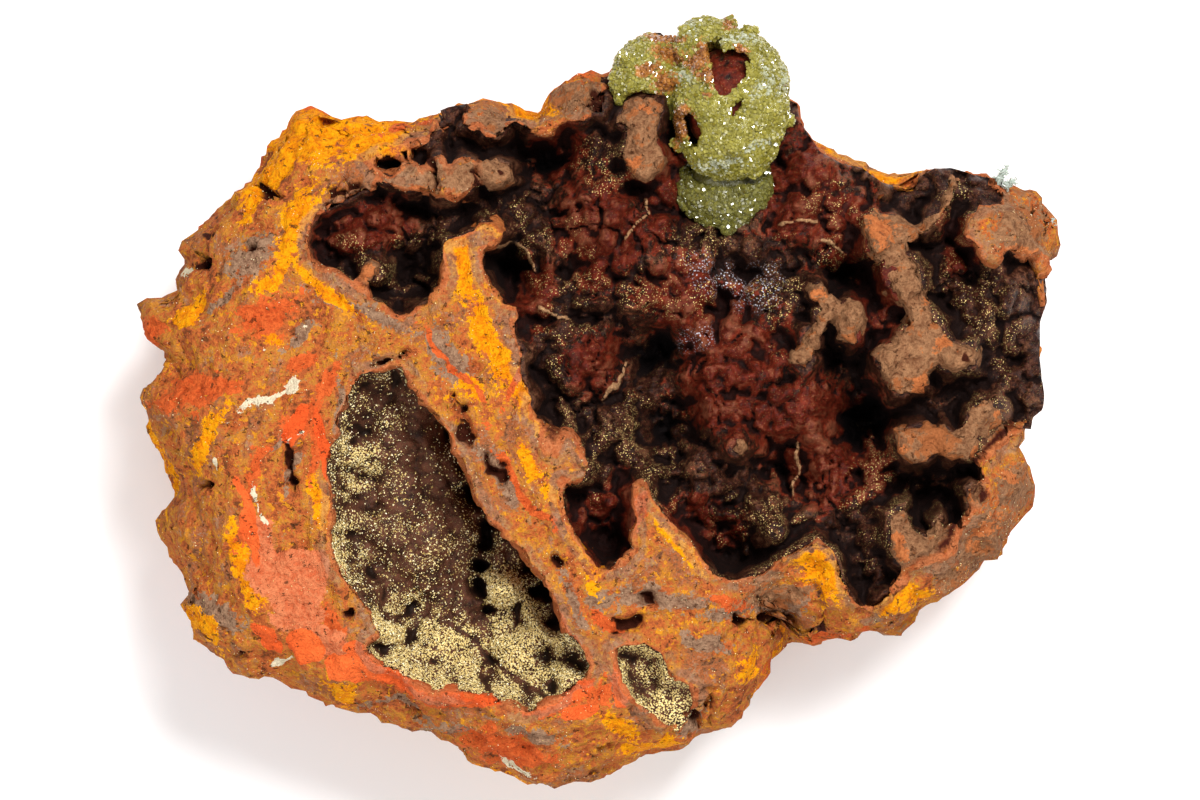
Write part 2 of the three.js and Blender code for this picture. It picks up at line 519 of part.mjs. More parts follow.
// Small crystals, spread evenly over the upper side of a ball by the golden angle
function crystalsOn({ at, radii }, count) {
  const [cx, cy] = inFrame(at);
  return Array.from({ length: count }, (_, i) => {
    const up = 1 - (1.15 * (i + 0.5)) / count;
    const angle = i * Math.PI * (3 - Math.sqrt(5));
    const flat = Math.sqrt(1 - up * up);
    const place = new THREE.Vector3(flat * Math.cos(angle), flat * Math.sin(angle), up);
    const crystal = new THREE.OctahedronGeometry(CRYSTAL * (1 + 0.3 * Math.sin(7 * i)));
    crystal.rotateX(2.1 * i).rotateY(1.3 * i);
    return solidOf(crystal.translate(cx + radii[0] * place.x, cy + radii[1] * place.y, at[2] + radii[2] * place.z));
  });
}

// What the austinite keeps clear of: the block, the lining and the core
function groundOfAustinite() {
  const free = upperRoom(LINING + GAP, GAP);
  return joined([block.subtract(free), liningOf(upperHollow, GAP), islandPrisms(GAP), coreOf(GAP)]);
}

function makeMainAustinite(ground) {
  const body = joined([
    ball(MAIN_BALL, 0, 2),
    ball(CREST, 0, 1),
    ball(LEFT_BALL, 0, 1),
    ...crystalsOn(MAIN_BALL, 15),
    ...crystalsOn(LEFT_BALL, 5),
    ...crystalsOn(CREST, 4),
  ]);
  return largestBodyOf(body.subtract(windowTools()).subtract(ground));
}

function makeLowerAustinite(ground) {
  const body = joined([ball(LOWER_BALL, 0, 1), ...crystalsOn(LOWER_BALL, 7)]);
  return largestBodyOf(body.subtract(ball(MAIN_BALL, GAP + CRYSTAL, 2)).subtract(ground));
}

// A tuft of slender crystals, pointed at both ends
function makeTuft(crystals) {
  const grown = crystals.map(([right, down, height, length, leanX, leanY]) => {
    const [x, y] = inFrame([right, down]);
    const crystal = new THREE.OctahedronGeometry(1).scale(0.55, length, 0.55);
    const lean = new THREE.Vector3(leanX, leanY, 0.25).normalize();
    crystal.applyQuaternion(new THREE.Quaternion().setFromUnitVectors(new THREE.Vector3(0, 1, 0), lean));
    return solidOf(crystal.translate(x, y, height));
  });
  const [, , , , leanX, leanY] = crystals[0];
  return largestBodyOf(joined(grown).subtract(block)).translate([GAP * leanX, GAP * leanY, GAP]);
}

// Assembly

const specimen = new THREE.Group();

function addPiece(name, solid, look) {
  const mesh = new THREE.Mesh(geometryOf(solid), new THREE.MeshStandardMaterial(look));
  mesh.name = name;
  specimen.add(mesh);
}

const ground = groundOfAustinite();

addPiece("limonite_block", makeLimonite(), COLOURS.limonite);
addPiece("upper_hollow_lining", makeUpperLining(), COLOURS.goethite);
addPiece("lower_hollow_lining", largestBodyOf(liningOf(lowerHollow)), COLOURS.goldDruse);
addPiece("small_hollow_lining", largestBodyOf(liningOf(smallHollow)), COLOURS.goldDruse);
addPiece("austinite_main_crust", makeMainAustinite(ground), COLOURS.austinite);
addPiece("austinite_lower_crust", makeLowerAustinite(ground), COLOURS.austinite);
addPiece("pale_crystals_top", makeTuft(TOP_TUFT), COLOURS.paleAustinite);
addPiece("pale_crystals_side", makeTuft(SIDE_TUFT), COLOURS.paleAustinite);

export default specimen;
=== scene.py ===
"""Austinite on limonite, lying on its back with the display face up.

The limonite block, the linings of its three hollows and the green crusts are dressed round
the CAD frame. Plan places are [right, down] in millimetres on the display face, measured
from the top left corner of the area that the photograph shows.
"""

import itertools
import math

import bmesh
import bpy
import numpy as np
from mathutils import Matrix, Vector


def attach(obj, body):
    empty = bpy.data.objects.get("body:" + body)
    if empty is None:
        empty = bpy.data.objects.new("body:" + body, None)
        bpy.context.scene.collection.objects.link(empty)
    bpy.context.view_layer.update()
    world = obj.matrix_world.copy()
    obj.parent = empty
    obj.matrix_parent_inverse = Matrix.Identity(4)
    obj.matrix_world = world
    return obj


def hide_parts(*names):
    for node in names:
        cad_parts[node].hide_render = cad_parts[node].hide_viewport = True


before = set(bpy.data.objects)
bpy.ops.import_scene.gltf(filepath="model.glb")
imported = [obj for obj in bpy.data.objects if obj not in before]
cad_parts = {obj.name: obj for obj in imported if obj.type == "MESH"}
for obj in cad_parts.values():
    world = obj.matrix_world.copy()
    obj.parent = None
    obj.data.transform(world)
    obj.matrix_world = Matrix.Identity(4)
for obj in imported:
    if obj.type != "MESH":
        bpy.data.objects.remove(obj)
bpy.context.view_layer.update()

MM = 0.001
FRAME_CENTRE = (59.5, 40.0)  # plan place of the frame's origin
PHOTO_SIZE = (120.0, 80.0)  # area shown, in millimetres

# Levels, as the solids have them
FACE_HEIGHT = 35
FACE_DOME = 3
DOME_REACH = (46, 38)
BLOCK_SIDES = 76
RIM_ROLL = 8
RIM_DROP = 9
FLOOR_DOME = 4.5
LINING = 2.4
UPPER_FLOOR = 24.6
LOWER_FLOOR = 18.5
SMALL_FLOOR = 26.5

BLOCK_OUTLINE = [
    (13.2, 30.4), (15.5, 29.7), (17.3, 28.8), (17.4, 27.0), (18.2, 26.2), (17.7, 25.0),
    (18.6, 23.9), (20.0, 22.2), (22.4, 20.2), (23.0, 19.0), (24.6, 17.7), (26.3, 15.4),
    (26.9, 14.0), (28.5, 12.8), (28.8, 11.2), (30.2, 10.1), (32.0, 10.6), (32.7, 11.6),
    (36.0, 11.5), (39.8, 11.9), (40.8, 12.4), (42.8, 11.2), (44.7, 10.3), (47.8, 9.8),
    (50.0, 10.3), (51.5, 10.4), (54.0, 11.1), (55.0, 9.2), (56.2, 7.6), (58.0, 7.0),
    (60.4, 7.3), (62.0, 6.6), (63.3, 4.2), (64.6, 2.9), (66.2, 2.8), (68.5, 4.6),
    (73.0, 6.0), (77.0, 8.2), (79.0, 9.5), (80.1, 10.1), (80.4, 12.0), (81.6, 13.8),
    (82.3, 14.9), (84.3, 16.0), (86.4, 16.4), (88.4, 17.9), (91.2, 18.7), (91.6, 17.4),
    (93.2, 16.5), (95.2, 16.3), (97.4, 17.0), (99.5, 17.4), (101.8, 18.1), (104.0, 19.1),
    (105.2, 20.9), (105.9, 22.2), (105.6, 25.0), (105.0, 27.5), (105.2, 30.2), (104.5, 32.2),
    (104.4, 35.5), (104.9, 39.5), (104.7, 41.2), (103.7, 42.0), (103.5, 43.8), (102.8, 45.0),
    (103.6, 46.8), (103.8, 49.0), (102.6, 51.4), (101.3, 53.8), (100.2, 55.6), (98.4, 56.0),
    (97.2, 58.0), (95.6, 59.6), (92.8, 61.0), (91.9, 62.6), (90.6, 63.9), (89.4, 64.1),
    (87.6, 63.7), (85.4, 64.8), (83.6, 64.2), (81.4, 64.9), (80.2, 64.1), (79.3, 62.6),
    (78.5, 61.7), (77.8, 63.4), (77.7, 65.2), (76.9, 67.6), (75.6, 69.8), (74.0, 72.2),
    (72.6, 73.1), (70.2, 73.6), (69.0, 75.0), (66.4, 75.8), (62.6, 76.6), (59.8, 77.8),
    (56.0, 78.5), (52.4, 78.7), (50.4, 77.2), (47.4, 76.6), (45.2, 75.0), (42.8, 73.9),
    (40.0, 73.4), (37.8, 72.0), (36.0, 71.3), (34.0, 71.6), (31.6, 70.6), (28.6, 69.0),
    (26.6, 68.1), (24.0, 68.0), (22.2, 67.4), (21.4, 66.0), (19.0, 64.3), (18.4, 62.5),
    (17.3, 60.8), (18.1, 59.8), (18.0, 58.0), (16.8, 56.0), (16.2, 54.6), (15.4, 53.4),
    (15.6, 51.6), (16.8, 49.6), (17.0, 48.2), (16.0, 47.0), (15.4, 44.8), (14.2, 43.0),
    (13.8, 41.2), (12.8, 40.0), (13.6, 38.6), (15.8, 37.0), (16.2, 36.3), (15.4, 35.1),
    (14.0, 33.4), (13.3, 32.0),
]

UPPER_HOLLOW = [
    (31, 24.3), (31.3, 22.8), (32.2, 21.6), (34, 20.9), (35.6, 20), (37, 19.3), (37.9, 18.3),
    (39.4, 18.8), (41, 19.3), (42.8, 19), (43.6, 19.8), (45.6, 20), (47.2, 19.5), (47.9, 18),
    (47.6, 16), (46.6, 15.8), (45.8, 16.4), (45, 17.4), (44.4, 16.4), (44, 15.4), (43.3, 15.5),
    (43, 16.6), (42.2, 17.4), (41.8, 16.8), (41.4, 16.2), (40.7, 16.4), (40.2, 17.1), (39.2, 17.5),
    (37.6, 17.4), (36.8, 16.4), (38, 16), (39.8, 15.6), (40.8, 14.7), (42.6, 14.3), (43.8, 13.1),
    (44.8, 11.4), (45.6, 10.7), (46.4, 10.9), (46.4, 11.9), (46, 12.6), (47.2, 12.9), (48, 13.2),
    (48.6, 13.9), (50, 14), (51, 12.9), (50.9, 12), (51.8, 12.4), (53.2, 13.4), (54.8, 13.3),
    (56.2, 12.4), (58.2, 12.3), (59.4, 11.7), (60.6, 11.8), (60.8, 9.6), (60.4, 8.2), (61.4, 6.4),
    (62.6, 3.6), (64.4, 1.6), (66.4, 1.6), (69.2, 3.4), (74, 4.8), (78, 7.2), (79.6, 8.6),
    (79.9, 11), (80.4, 12.8), (81.4, 14.6), (82.8, 15.7), (84.4, 16.5), (86, 16.9), (88, 18.4),
    (90, 18.9), (91.3, 19.2), (91.9, 18), (92.8, 17.1), (94.4, 16.8), (96, 17.2), (98.6, 17.7),
    (99.8, 18.6), (100.1, 20.2), (99, 20.8), (97.6, 21.2), (96.6, 22), (96.3, 23.8), (97.4, 24.5),
    (98, 25.6), (98.8, 26.6), (99.7, 26.2), (100, 25.2), (100.8, 24.9), (101.8, 25.6), (103, 25.2),
    (104.2, 25.8), (104.6, 28), (104.7, 30.2), (103.8, 32.2), (103.6, 35.6), (104.2, 39.6),
    (103.6, 41.4), (102, 42.8), (100.4, 44.2), (98.6, 45.8), (97.8, 46.8), (98.4, 48.4),
    (99.4, 49.8), (98.4, 50.6), (97, 50.8), (96.2, 52.2), (94.8, 54.6), (93.6, 55.8), (92.2, 56.2),
    (90.4, 57.2), (89.6, 58.6), (88.2, 59.2), (87.2, 60.2), (86.8, 61.4), (85.8, 60.6),
    (84.6, 58.6), (84.2, 56.6), (83.2, 54.6), (81.6, 53.6), (79.4, 54.6), (77.4, 56.2),
    (75.6, 57.4), (73.6, 57.9), (71.6, 57.6), (70.4, 56.4), (69, 54.2), (67, 52), (65.4, 50),
    (64.8, 48.4), (64, 48), (63.3, 49.2), (63.3, 52.4), (63.5, 54.8), (62.4, 56), (60.2, 57.1),
    (58.8, 55.4), (57.4, 53.4), (56.4, 51.4), (56, 49.2), (56.2, 48), (57.4, 48.4), (58.6, 48),
    (59, 46.8), (58.2, 45.6), (57.6, 44), (56.6, 43), (56, 44.2), (55.6, 45.4), (54.6, 45.2),
    (54.1, 43.8), (54.4, 42.4), (53.2, 41.6), (53.4, 40), (53, 38.4), (52.2, 37), (52.6, 35.2),
    (51.6, 33.6), (51.3, 32.2), (52, 31), (50.6, 30.6), (49.4, 29), (48.4, 27), (48.1, 25.2),
    (49.6, 24.6), (50.4, 23.8), (49.2, 22.3), (48.2, 22.1), (47.4, 23.2), (46, 23.7), (44.2, 23.9),
    (44.4, 25.8), (44.8, 27.4), (44.4, 29.2), (43.2, 30.2), (41.8, 30.8), (40.4, 31.8),
    (39.4, 31.6), (38.2, 30.2), (36.6, 29.2), (35.2, 28.2), (33.6, 27.2), (32, 26.9), (31.4, 25.8),
]
LOWER_HOLLOW = [
    (36.4, 37.4), (38.2, 37.2), (39.4, 36.4), (40.2, 36.6), (41.4, 38.2), (42.6, 40), (43.8, 41.6),
    (44.9, 43.2), (45.9, 45.2), (46.6, 47.4), (47.6, 49.6), (48.7, 51.6), (50.2, 52.8),
    (51.6, 54.2), (52.6, 55.6), (53.6, 57), (54.8, 58.4), (55.4, 60.2), (55.9, 62.2), (56.8, 63.8),
    (58.6, 64.8), (59.2, 66.2), (58.8, 67.4), (57.2, 67.8), (56.3, 68.4), (56, 69.6), (54.4, 70.2),
    (52.8, 70.9), (51.2, 70.4), (49.6, 69.6), (47.4, 68.9), (45.2, 68.8), (43.4, 69), (41.8, 68.2),
    (40.6, 67.1), (39.2, 66.4), (37.8, 65.8), (36.8, 64.8), (36.9, 63.8), (38.2, 63.3),
    (37.4, 61.4), (36.6, 59.8), (35.4, 58.6), (34.4, 57.4), (33.6, 56), (33.1, 54.2), (33.4, 51),
    (33.5, 49), (33, 47), (33.4, 45), (33.9, 43.2), (34.2, 41.4), (35, 39.8), (35.6, 38.6),
]
SMALL_HOLLOW = [
    (61.2, 65), (62.6, 64.3), (64.6, 64.4), (66, 65.2), (66.4, 66.2), (66.8, 67.8), (68.4, 68.1),
    (69.5, 68.8), (69.2, 70.2), (68.4, 71.6), (67.6, 72.6), (66.2, 72.2), (64.8, 71), (63.4, 69.8),
    (62.4, 68.6), (61.9, 66.8),
]

# Limonite standing up to the face inside the upper hollow
ISLANDS = [
    [
        (61.4, 12.2), (62.2, 10.8), (62.8, 9.8), (64, 9.2), (65.2, 9.5), (66.2, 10), (66.4, 11.4),
        (65.8, 13), (65.2, 13.9), (66, 14.8), (66.5, 15.8), (65.8, 17), (64.6, 17.7), (63.4, 17.5),
        (62.8, 16.4), (62, 15.4), (62.4, 14.2), (62.8, 13.2),
    ],
    [
        (90.5, 30.4), (91.6, 29.6), (92.6, 30.4), (93.6, 31.6), (94.6, 32.8), (95.4, 34),
        (97.2, 34.2), (97.6, 35.6), (97.2, 36.8), (95.6, 37.3), (94, 36.8), (93, 36.4),
        (92.4, 37.6), (91.8, 39), (90.4, 39.7), (89.2, 39.8), (88.6, 38.4), (87.6, 36.8),
        (87.3, 35.6), (88.2, 34.6), (89.3, 34.4), (89.6, 33.2), (90.8, 32.4), (91.6, 31.6),
    ],
    [
        (87.8, 26.4), (88.6, 25.4), (90.2, 25), (91.6, 25.6), (92.2, 27.4), (92.4, 28.8),
        (91.6, 29.9), (90.6, 30.6), (89.4, 29.9), (88.4, 28.8),
    ],
    [
        (86.4, 25.2), (86.6, 23.6), (86.4, 22), (87.4, 20.7), (88.2, 21.4), (89.4, 21.2),
        (90.4, 22.6), (92.2, 23.2), (91.2, 24.2), (89.8, 24.2), (89, 25), (87.6, 25.8),
    ],
    [
        (91.8, 23.2), (92.6, 21.8), (93.6, 20.2), (94.6, 18.6), (95.4, 17.2), (96.2, 17.6),
        (95.2, 19.4), (94.4, 21), (93.4, 22.6), (92.4, 23.8),
    ],
    [
        (81.2, 31.2), (82.2, 30.5), (83.4, 30.4), (84.8, 30), (85.8, 30.6), (86.1, 31.8),
        (86.2, 33), (86, 34.2), (85.2, 34.6), (84.2, 33.9), (84, 32.6), (83, 31.8), (82.2, 32.5),
        (81.4, 32.3),
    ],
    [
        (89.6, 43.2), (90.6, 42.4), (92, 42.3), (93, 42.8), (94.4, 42.6), (95.6, 43.4),
        (96.2, 42.2), (96.8, 41), (98, 40.2), (99.6, 39.9), (101, 40.5), (100.8, 41.8), (99.6, 43),
        (98.4, 44.2), (97.8, 45.2), (96.8, 46), (95.2, 45.8), (93.6, 45.3), (92.6, 46.2),
        (91, 46.3), (90, 45.2),
    ],
    [
        (88.5, 51.2), (89.6, 50.4), (90.6, 50), (90.4, 51.4), (91, 52.6), (92.4, 53.4),
        (93.4, 54.6), (92.8, 55.4), (91.4, 56.4), (90.2, 57), (89.2, 56.2), (89, 54.6),
        (88.6, 52.8),
    ],
    [
        (92.9, 52.2), (94, 51.3), (94.6, 52.3), (94.2, 53.4), (93.2, 53.3),
    ],
    [
        (96.6, 49.9), (96.3, 48.6), (97, 48), (97.7, 48.4), (97.2, 49.2), (97.2, 50.8),
        (96.5, 51.2),
    ],
    [
        (47.9, 17), (48.8, 16.4), (50, 16.1), (50.9, 16.5), (51, 17.8), (50, 18.4), (48.8, 18.3),
        (48, 18),
    ],
]
PEGS = [
    (37.4, 27.2, 1.25), (80.8, 33.8, 1.1), (80.3, 36.2, 1.15), (81.6, 29, 0.85),
    (73.6, 44.8, 0.75), (77.5, 53, 0.8),
]

# Floors: [right, down, reach, depth or height]
UPPER_DIPS = [
    (72.6, 19.2, 7, 3), (71, 9, 9, 3), (65.2, 36, 5.5, 8), (66.6, 42.6, 5, 8),
    (84.8, 35.6, 4.5, 5), (86.2, 41.8, 5.5, 8), (54.4, 15.4, 6, 6), (50.4, 27, 4.5, 6),
    (41.4, 26.6, 4, 4), (60, 53, 5, 5), (73.4, 55.4, 5, 4), (84.6, 28.4, 4, 4), (78.6, 47.4, 5, 5),
    (92.8, 50, 5, 3),
]
UPPER_SWELLS = [
    (64, 26, 9, 1.2), (79, 38, 8, 2), (57, 35, 5, 1.5), (72, 42, 5, 2), (100, 32, 6, 1.5),
    (60, 20, 5, 2),
]
# Where the crust stands higher than in the solids
UPPER_RISES = [
    (36.6, 23.6, 6.4, 4.0), (43.6, 27.0, 3.0, 3.0), (60.0, 22.0, 7.0, 2.0), (98.6, 30.0, 6.0, 2.0),
    (60.0, 52.0, 4.4, 4.0), (75.0, 52.0, 5.0, 2.0), (88.0, 54.0, 4.4, 3.0), (80.0, 21.0, 5.0, 2.0),
]
# Holes in the crusts: [right, down, reach, depth], too narrow for the solids
UPPER_HOLES = [
    (54.6, 15.6, 2.6, 4.0), (50.4, 27.4, 1.8, 3.5), (41.2, 27.8, 1.6, 3.5), (41.6, 20.4, 2.0, 3.5),
    (65.4, 35.2, 2.6, 4.0), (67.0, 42.0, 2.0, 4.0), (66.4, 45.0, 1.6, 3.0), (84.8, 35.4, 2.0, 4.0),
    (86.4, 41.6, 2.4, 4.5), (85.6, 44.6, 1.8, 3.5), (78.4, 15.2, 1.6, 4.0), (84.6, 28.4, 1.5, 3.5),
    (92.6, 24.2, 1.6, 3.0), (73.6, 26.6, 1.6, 2.5), (45.2, 12.8, 1.6, 3.0), (38.6, 16.8, 1.2, 2.5),
    (60.2, 53.8, 2.2, 3.0), (73.0, 55.0, 2.4, 2.5), (79.0, 47.4, 1.8, 3.5), (73.6, 50.2, 1.6, 2.5),
    (55.2, 42.8, 1.3, 3.0), (87.2, 57.2, 1.5, 2.5), (92.6, 49.4, 1.8, 2.5), (62.4, 31.6, 1.3, 2.5),
    (57.6, 26.2, 1.6, 2.5), (71.6, 30.8, 1.3, 2.5), (69.6, 36.6, 1.2, 2.5), (62.0, 40.4, 1.6, 3.0),
    (81.6, 48.4, 1.4, 2.5), (86.4, 47.6, 1.5, 2.5), (76.0, 47.0, 1.2, 2.0), (97.4, 28.6, 1.4, 2.5),
    (97.0, 24.0, 1.2, 2.5), (101.0, 35.0, 1.4, 2.0), (63.6, 20.6, 1.4, 2.5), (54.6, 20.6, 1.6, 2.5),
    (88.6, 42.0, 1.3, 2.5), (69.6, 22.0, 1.2, 2.0), (79.2, 26.4, 1.2, 2.0), (80.6, 36.2, 1.6, 3.0),
]
LOWER_HOLES = [
    (45.4, 43.4, 1.8, 3.0), (46.4, 46.2, 1.9, 4.5), (47.4, 49.4, 2.0, 6.0), (48.8, 52.6, 2.0, 6.0),
    (48.2, 54.6, 1.7, 4.5), (47.7, 56.8, 1.4, 4.5), (47.9, 59.0, 1.3, 4.2), (48.6, 61.2, 1.1, 2.6),
    (53.2, 56.4, 1.7, 5.0), (54.2, 59.2, 1.6, 4.5),
]
# Walls that the crust doesn't climb
UNDERCUTS = [(47.0, 48.4, 6.0, 1.5, -62), (52.6, 57.0, 2.6, 1.2, -55), (54.6, 60.8, 1.6, 1.0, -60)]
LOWER_MOUNDS = [
    (39.0, 44.0, 7.0, 4.2), (40.0, 54.0, 8.0, 4.4), (37.6, 39.4, 3.6, 2.0), (37.6, 61.0, 5.0, 1.6),
    (44.4, 65.8, 6.0, 4.0), (52.6, 66.6, 5.4, 4.4), (38.8, 64.4, 3.6, 3.4), (57.4, 66.6, 3.4, 3.4),
    (50.2, 58.9, 3.0, 4.2), (53.8, 62.8, 3.0, 1.6), (38.6, 40.4, 3.6, 1.6), (36.0, 53.0, 3.4, 1.2),
]

# Round lumps: [right, down, radius]
UPPER_LUMPS = [
    (62, 23.4, 4.3), (58.2, 21.6, 3), (66.4, 24.6, 3.6), (70.4, 24.2, 2.8), (75, 24, 2.6),
    (68.6, 28.8, 3.4), (64, 29, 3), (59.2, 29.2, 3.2), (55.6, 30.6, 2.5), (55.4, 34.6, 3.1),
    (59.4, 35.2, 2.8), (57.4, 38, 2.4), (53.6, 32.6, 1.6), (77.2, 29.8, 3.8), (74.2, 33.4, 3.4),
    (76.6, 37, 3), (72.4, 37.2, 2.7), (71, 33.4, 2.2), (70.6, 40.6, 2.4), (67.8, 43.2, 2.1),
    (64.6, 46.2, 2.3), (73.6, 44.6, 2.8), (75.4, 41.6, 2.4), (70.4, 47.4, 2.8), (68.6, 50, 2.2),
    (79.4, 40.6, 3.4), (82.2, 42.4, 3.2), (80.4, 46, 2.8), (83.2, 45, 2.2), (77.2, 50.2, 2.8),
    (75.2, 53.2, 2.2), (80.4, 50.4, 2.3), (83.4, 52, 2.2), (86.2, 50, 2.3), (82, 17.6, 3.2),
    (80.2, 20.6, 2.4), (84.8, 21.2, 2.6), (82.8, 25.2, 2.4), (79.8, 23.4, 2), (88.2, 19.4, 1.8),
    (93.4, 18.6, 1.9), (97.8, 19.2, 2), (94.6, 27.4, 2.8), (96.8, 30.6, 2.6), (100.4, 29.2, 2.8),
    (102.8, 28.4, 2), (102.2, 33.2, 2.4), (98.8, 33, 1.4), (100.2, 37.4, 2.4), (102.6, 39.6, 1.8),
    (59.2, 15.2, 2.2), (61, 18.6, 2.2), (57, 18.2, 1.9), (52, 14.4, 1.4), (49, 14.9, 1),
    (45.4, 21.8, 2), (48.2, 20.8, 1.8), (51.2, 21.6, 2.2), (53.2, 24.2, 1.9), (42.2, 24.2, 1.9),
    (35.2, 23.8, 2.4), (38, 21.8, 2.2), (34.4, 25.6, 1.6), (40, 29, 1.4), (43.2, 28, 1.4),
    (67.4, 18.6, 2.2), (68, 15.2, 1.8), (60.4, 43, 2.2), (62.2, 44.4, 1.7), (59.6, 46.8, 1.6),
    (60.4, 49.4, 1.4), (57.8, 51.2, 1.3), (88.4, 48.2, 2), (92.2, 48.2, 1.5), (95.4, 48.8, 1.2),
    (88, 53.4, 1.2), (87.8, 57.4, 1.3), (94.4, 39, 2), (98, 38.6, 1.4), (88.4, 31.8, 1.8),
    (56.8, 41.2, 1.8), (72, 20, 2.2), (76, 20.4, 2),
]
SMALL_LUMPS = [
    (64.4, 66.4, 1.7), (66.8, 70.2, 1.9), (63, 65.8, 1.1),
]

SPACING = 0.21  # of the dark crust's surface mesh
FINE_SPACING = 0.16  # of the druses'
LOWEST = 3.6  # of the linings' deepest holes
WIDEST = 14  # where the block's sides reach farthest out
SOLE = LOWEST - 0.6  # the linings' flat underside
TUCK = 0.5  # how far a lining reaches into the wall round it
EDGE_THICKNESS = 3.2  # of a lining where a hollow is open at the block's side
EDGE_INSET = 0.4  # of that edge from the block's outline
EDGE_SNAP = 1.1  # from the outline, within which an edge is drawn to its inset
SIDE_ROOM = 1.5  # less rock than this outside a lining counts as an open side
ROCK_ROOM = 9  # more rock than this outside a lining hides its skirt down to the sole
SOLE_SHARE = 0.78  # width of the sole against the lining's
FLOOR_SINKING = 6  # of the block's floors, which the linings hide
FLOOR_KEPT = 3.5  # width along the block's sides that doesn't sink
BLOCK_VOXEL = 0.9  # of the block's surface mesh before its face is refined


def in_frame(places):
    """Plan places as x and y in the frame, in millimetres."""
    places = np.asarray(places, dtype=float)
    return np.column_stack([places[:, 0] - FRAME_CENTRE[0], FRAME_CENTRE[1] - places[:, 1]])


# Repeatable noise


def chance(cells, seed=0):
    """A number from 0 to 1 for each row of whole numbers."""
    mixed = np.full(len(cells), 2166136261 + 1013904223 * seed, dtype=np.uint64)
    for column in cells.astype(np.int64).T:
        mixed = (mixed ^ (column.astype(np.uint64) & np.uint64(0xFFFFFFFF))) * np.uint64(16777619)
        mixed = (mixed ^ (mixed >> np.uint64(15))) & np.uint64(0xFFFFFFFF)
        mixed = (mixed * np.uint64(2246822519)) & np.uint64(0xFFFFFFFF)
        mixed ^= mixed >> np.uint64(13)
    return mixed / 4294967295.0


def noise(places, size, seed=0):
    """Smooth noise from -1 to 1 with features about size millimetres wide."""
    scaled = places / size
    cell = np.floor(scaled)
    ease = scaled - cell
    ease = ease * ease * (3 - 2 * ease)
    total = np.zeros(len(places))
    for corner in itertools.product((0, 1), repeat=places.shape[1]):
        weight = np.prod(np.where(corner, ease, 1 - ease), axis=1)
        total += weight * (2 * chance(cell + corner, seed) - 1)
    return total


def layered(places, size, layers=3, seed=0):
    """Noise in several layers, each half as wide and half as strong as the one before."""
    return sum(noise(places, size / 2**i, seed + i) / 2**i for i in range(layers))


def beads(plan, size, seed=0):
    """Height of a layer of round beads of about that width, spread at random."""
    cell = np.floor(plan / size)
    highest = np.zeros(len(plan))
    for step in itertools.product((-1, 0, 1), repeat=2):
        near = cell + step
        shift = np.column_stack([chance(near, seed + 1), chance(near, seed + 2)])
        centre = (near + 0.15 + 0.7 * shift) * size
        radius = size * (0.42 + 0.3 * chance(near, seed + 3))
        gap = radius**2 - np.sum((plan - centre) ** 2, axis=1)
        highest = np.maximum(highest, np.sqrt(np.maximum(gap, 0)))
    return highest


def crease(plan, size, seed=0):
    """Distance from each point to the border between two cells of about that width."""
    cell = np.floor(plan / size)
    nearest = np.full((2, len(plan)), np.inf)
    for step in itertools.product((-1, 0, 1), repeat=2):
        near = cell + step
        shift = np.column_stack([chance(near, seed + 1), chance(near, seed + 2)])
        gap = np.hypot(*(plan - (near + 0.15 + 0.7 * shift) * size).T)
        nearest = np.sort([*nearest, gap], axis=0)[:2]
    return nearest[1] - nearest[0]


def wavering(plan, size, amount, seed=0):
    """Points moved about, so that a form drawn over them gets an uneven edge."""
    shifts = [layered(plan, size, 3, seed), layered(plan, size, 3, seed + 50)]
    return plan + amount * np.column_stack(shifts)


# Forms of the display face


def signed_distance(plan, outline):
    """Distance in millimetres from each point to an outline, positive inside it."""
    nearest = np.full(len(plan), np.inf)
    inside = np.zeros(len(plan), dtype=bool)
    for start, end in zip(outline, np.roll(outline, -1, axis=0)):
        edge = end - start
        offset = plan - start
        along = np.clip(offset @ edge / (edge @ edge), 0, 1)
        nearest = np.minimum(nearest, np.hypot(*(offset - along[:, None] * edge).T))
        spans = (start[1] > plan[:, 1]) != (end[1] > plan[:, 1])
        rise = edge[1] if edge[1] else 1.0
        inside ^= spans & (offset[:, 0] < edge[0] * offset[:, 1] / rise)
    return np.where(inside, nearest, -nearest)


def humps(plan, spots):
    """Sum of smooth humps, each [right, down, reach, height]."""
    total = np.zeros(len(plan))
    for centre, (_, _, reach, height) in zip(in_frame([s[:2] for s in spots]), spots):
        share = np.minimum(np.hypot(*(plan - centre).T) / reach, 1)
        total += height * (1 - share**2) ** 2
    return total


def domes(plan, lumps):
    """Height of the highest round lump over each point."""
    highest = np.zeros(len(plan))
    for centre, (_, _, radius) in zip(in_frame([s[:2] for s in lumps]), lumps):
        gap = radius**2 - np.sum((plan - centre) ** 2, axis=1)
        highest = np.maximum(highest, np.sqrt(np.maximum(gap, 0)) - 0.2 * radius)
    return highest


def dome(plan):
    """How far the face and the floors have sunk towards the sides, 1 at the dome's reach."""
    return (plan[:, 0] / DOME_REACH[0]) ** 2 + (plan[:, 1] / DOME_REACH[1]) ** 2


block_outline = in_frame(BLOCK_OUTLINE)
upper_outline = in_frame(UPPER_HOLLOW)
lower_outline = in_frame(LOWER_HOLLOW)
small_outline = in_frame(SMALL_HOLLOW)
peg_turns = np.linspace(0, 2 * math.pi, 12, endpoint=False)
island_outlines = [in_frame(outline) for outline in ISLANDS] + [
    in_frame([(right + r * math.cos(t), down + r * math.sin(t)) for t in peg_turns])
    for right, down, r in PEGS
]


def face_height(plan):
    """Height of the display face: a low dome that rolls down at the block's rim."""
    rim = 1 - np.minimum(np.maximum(signed_distance(plan, block_outline), 0) / RIM_ROLL, 1)
    return FACE_HEIGHT - FACE_DOME * dome(plan) - RIM_DROP * rim**2


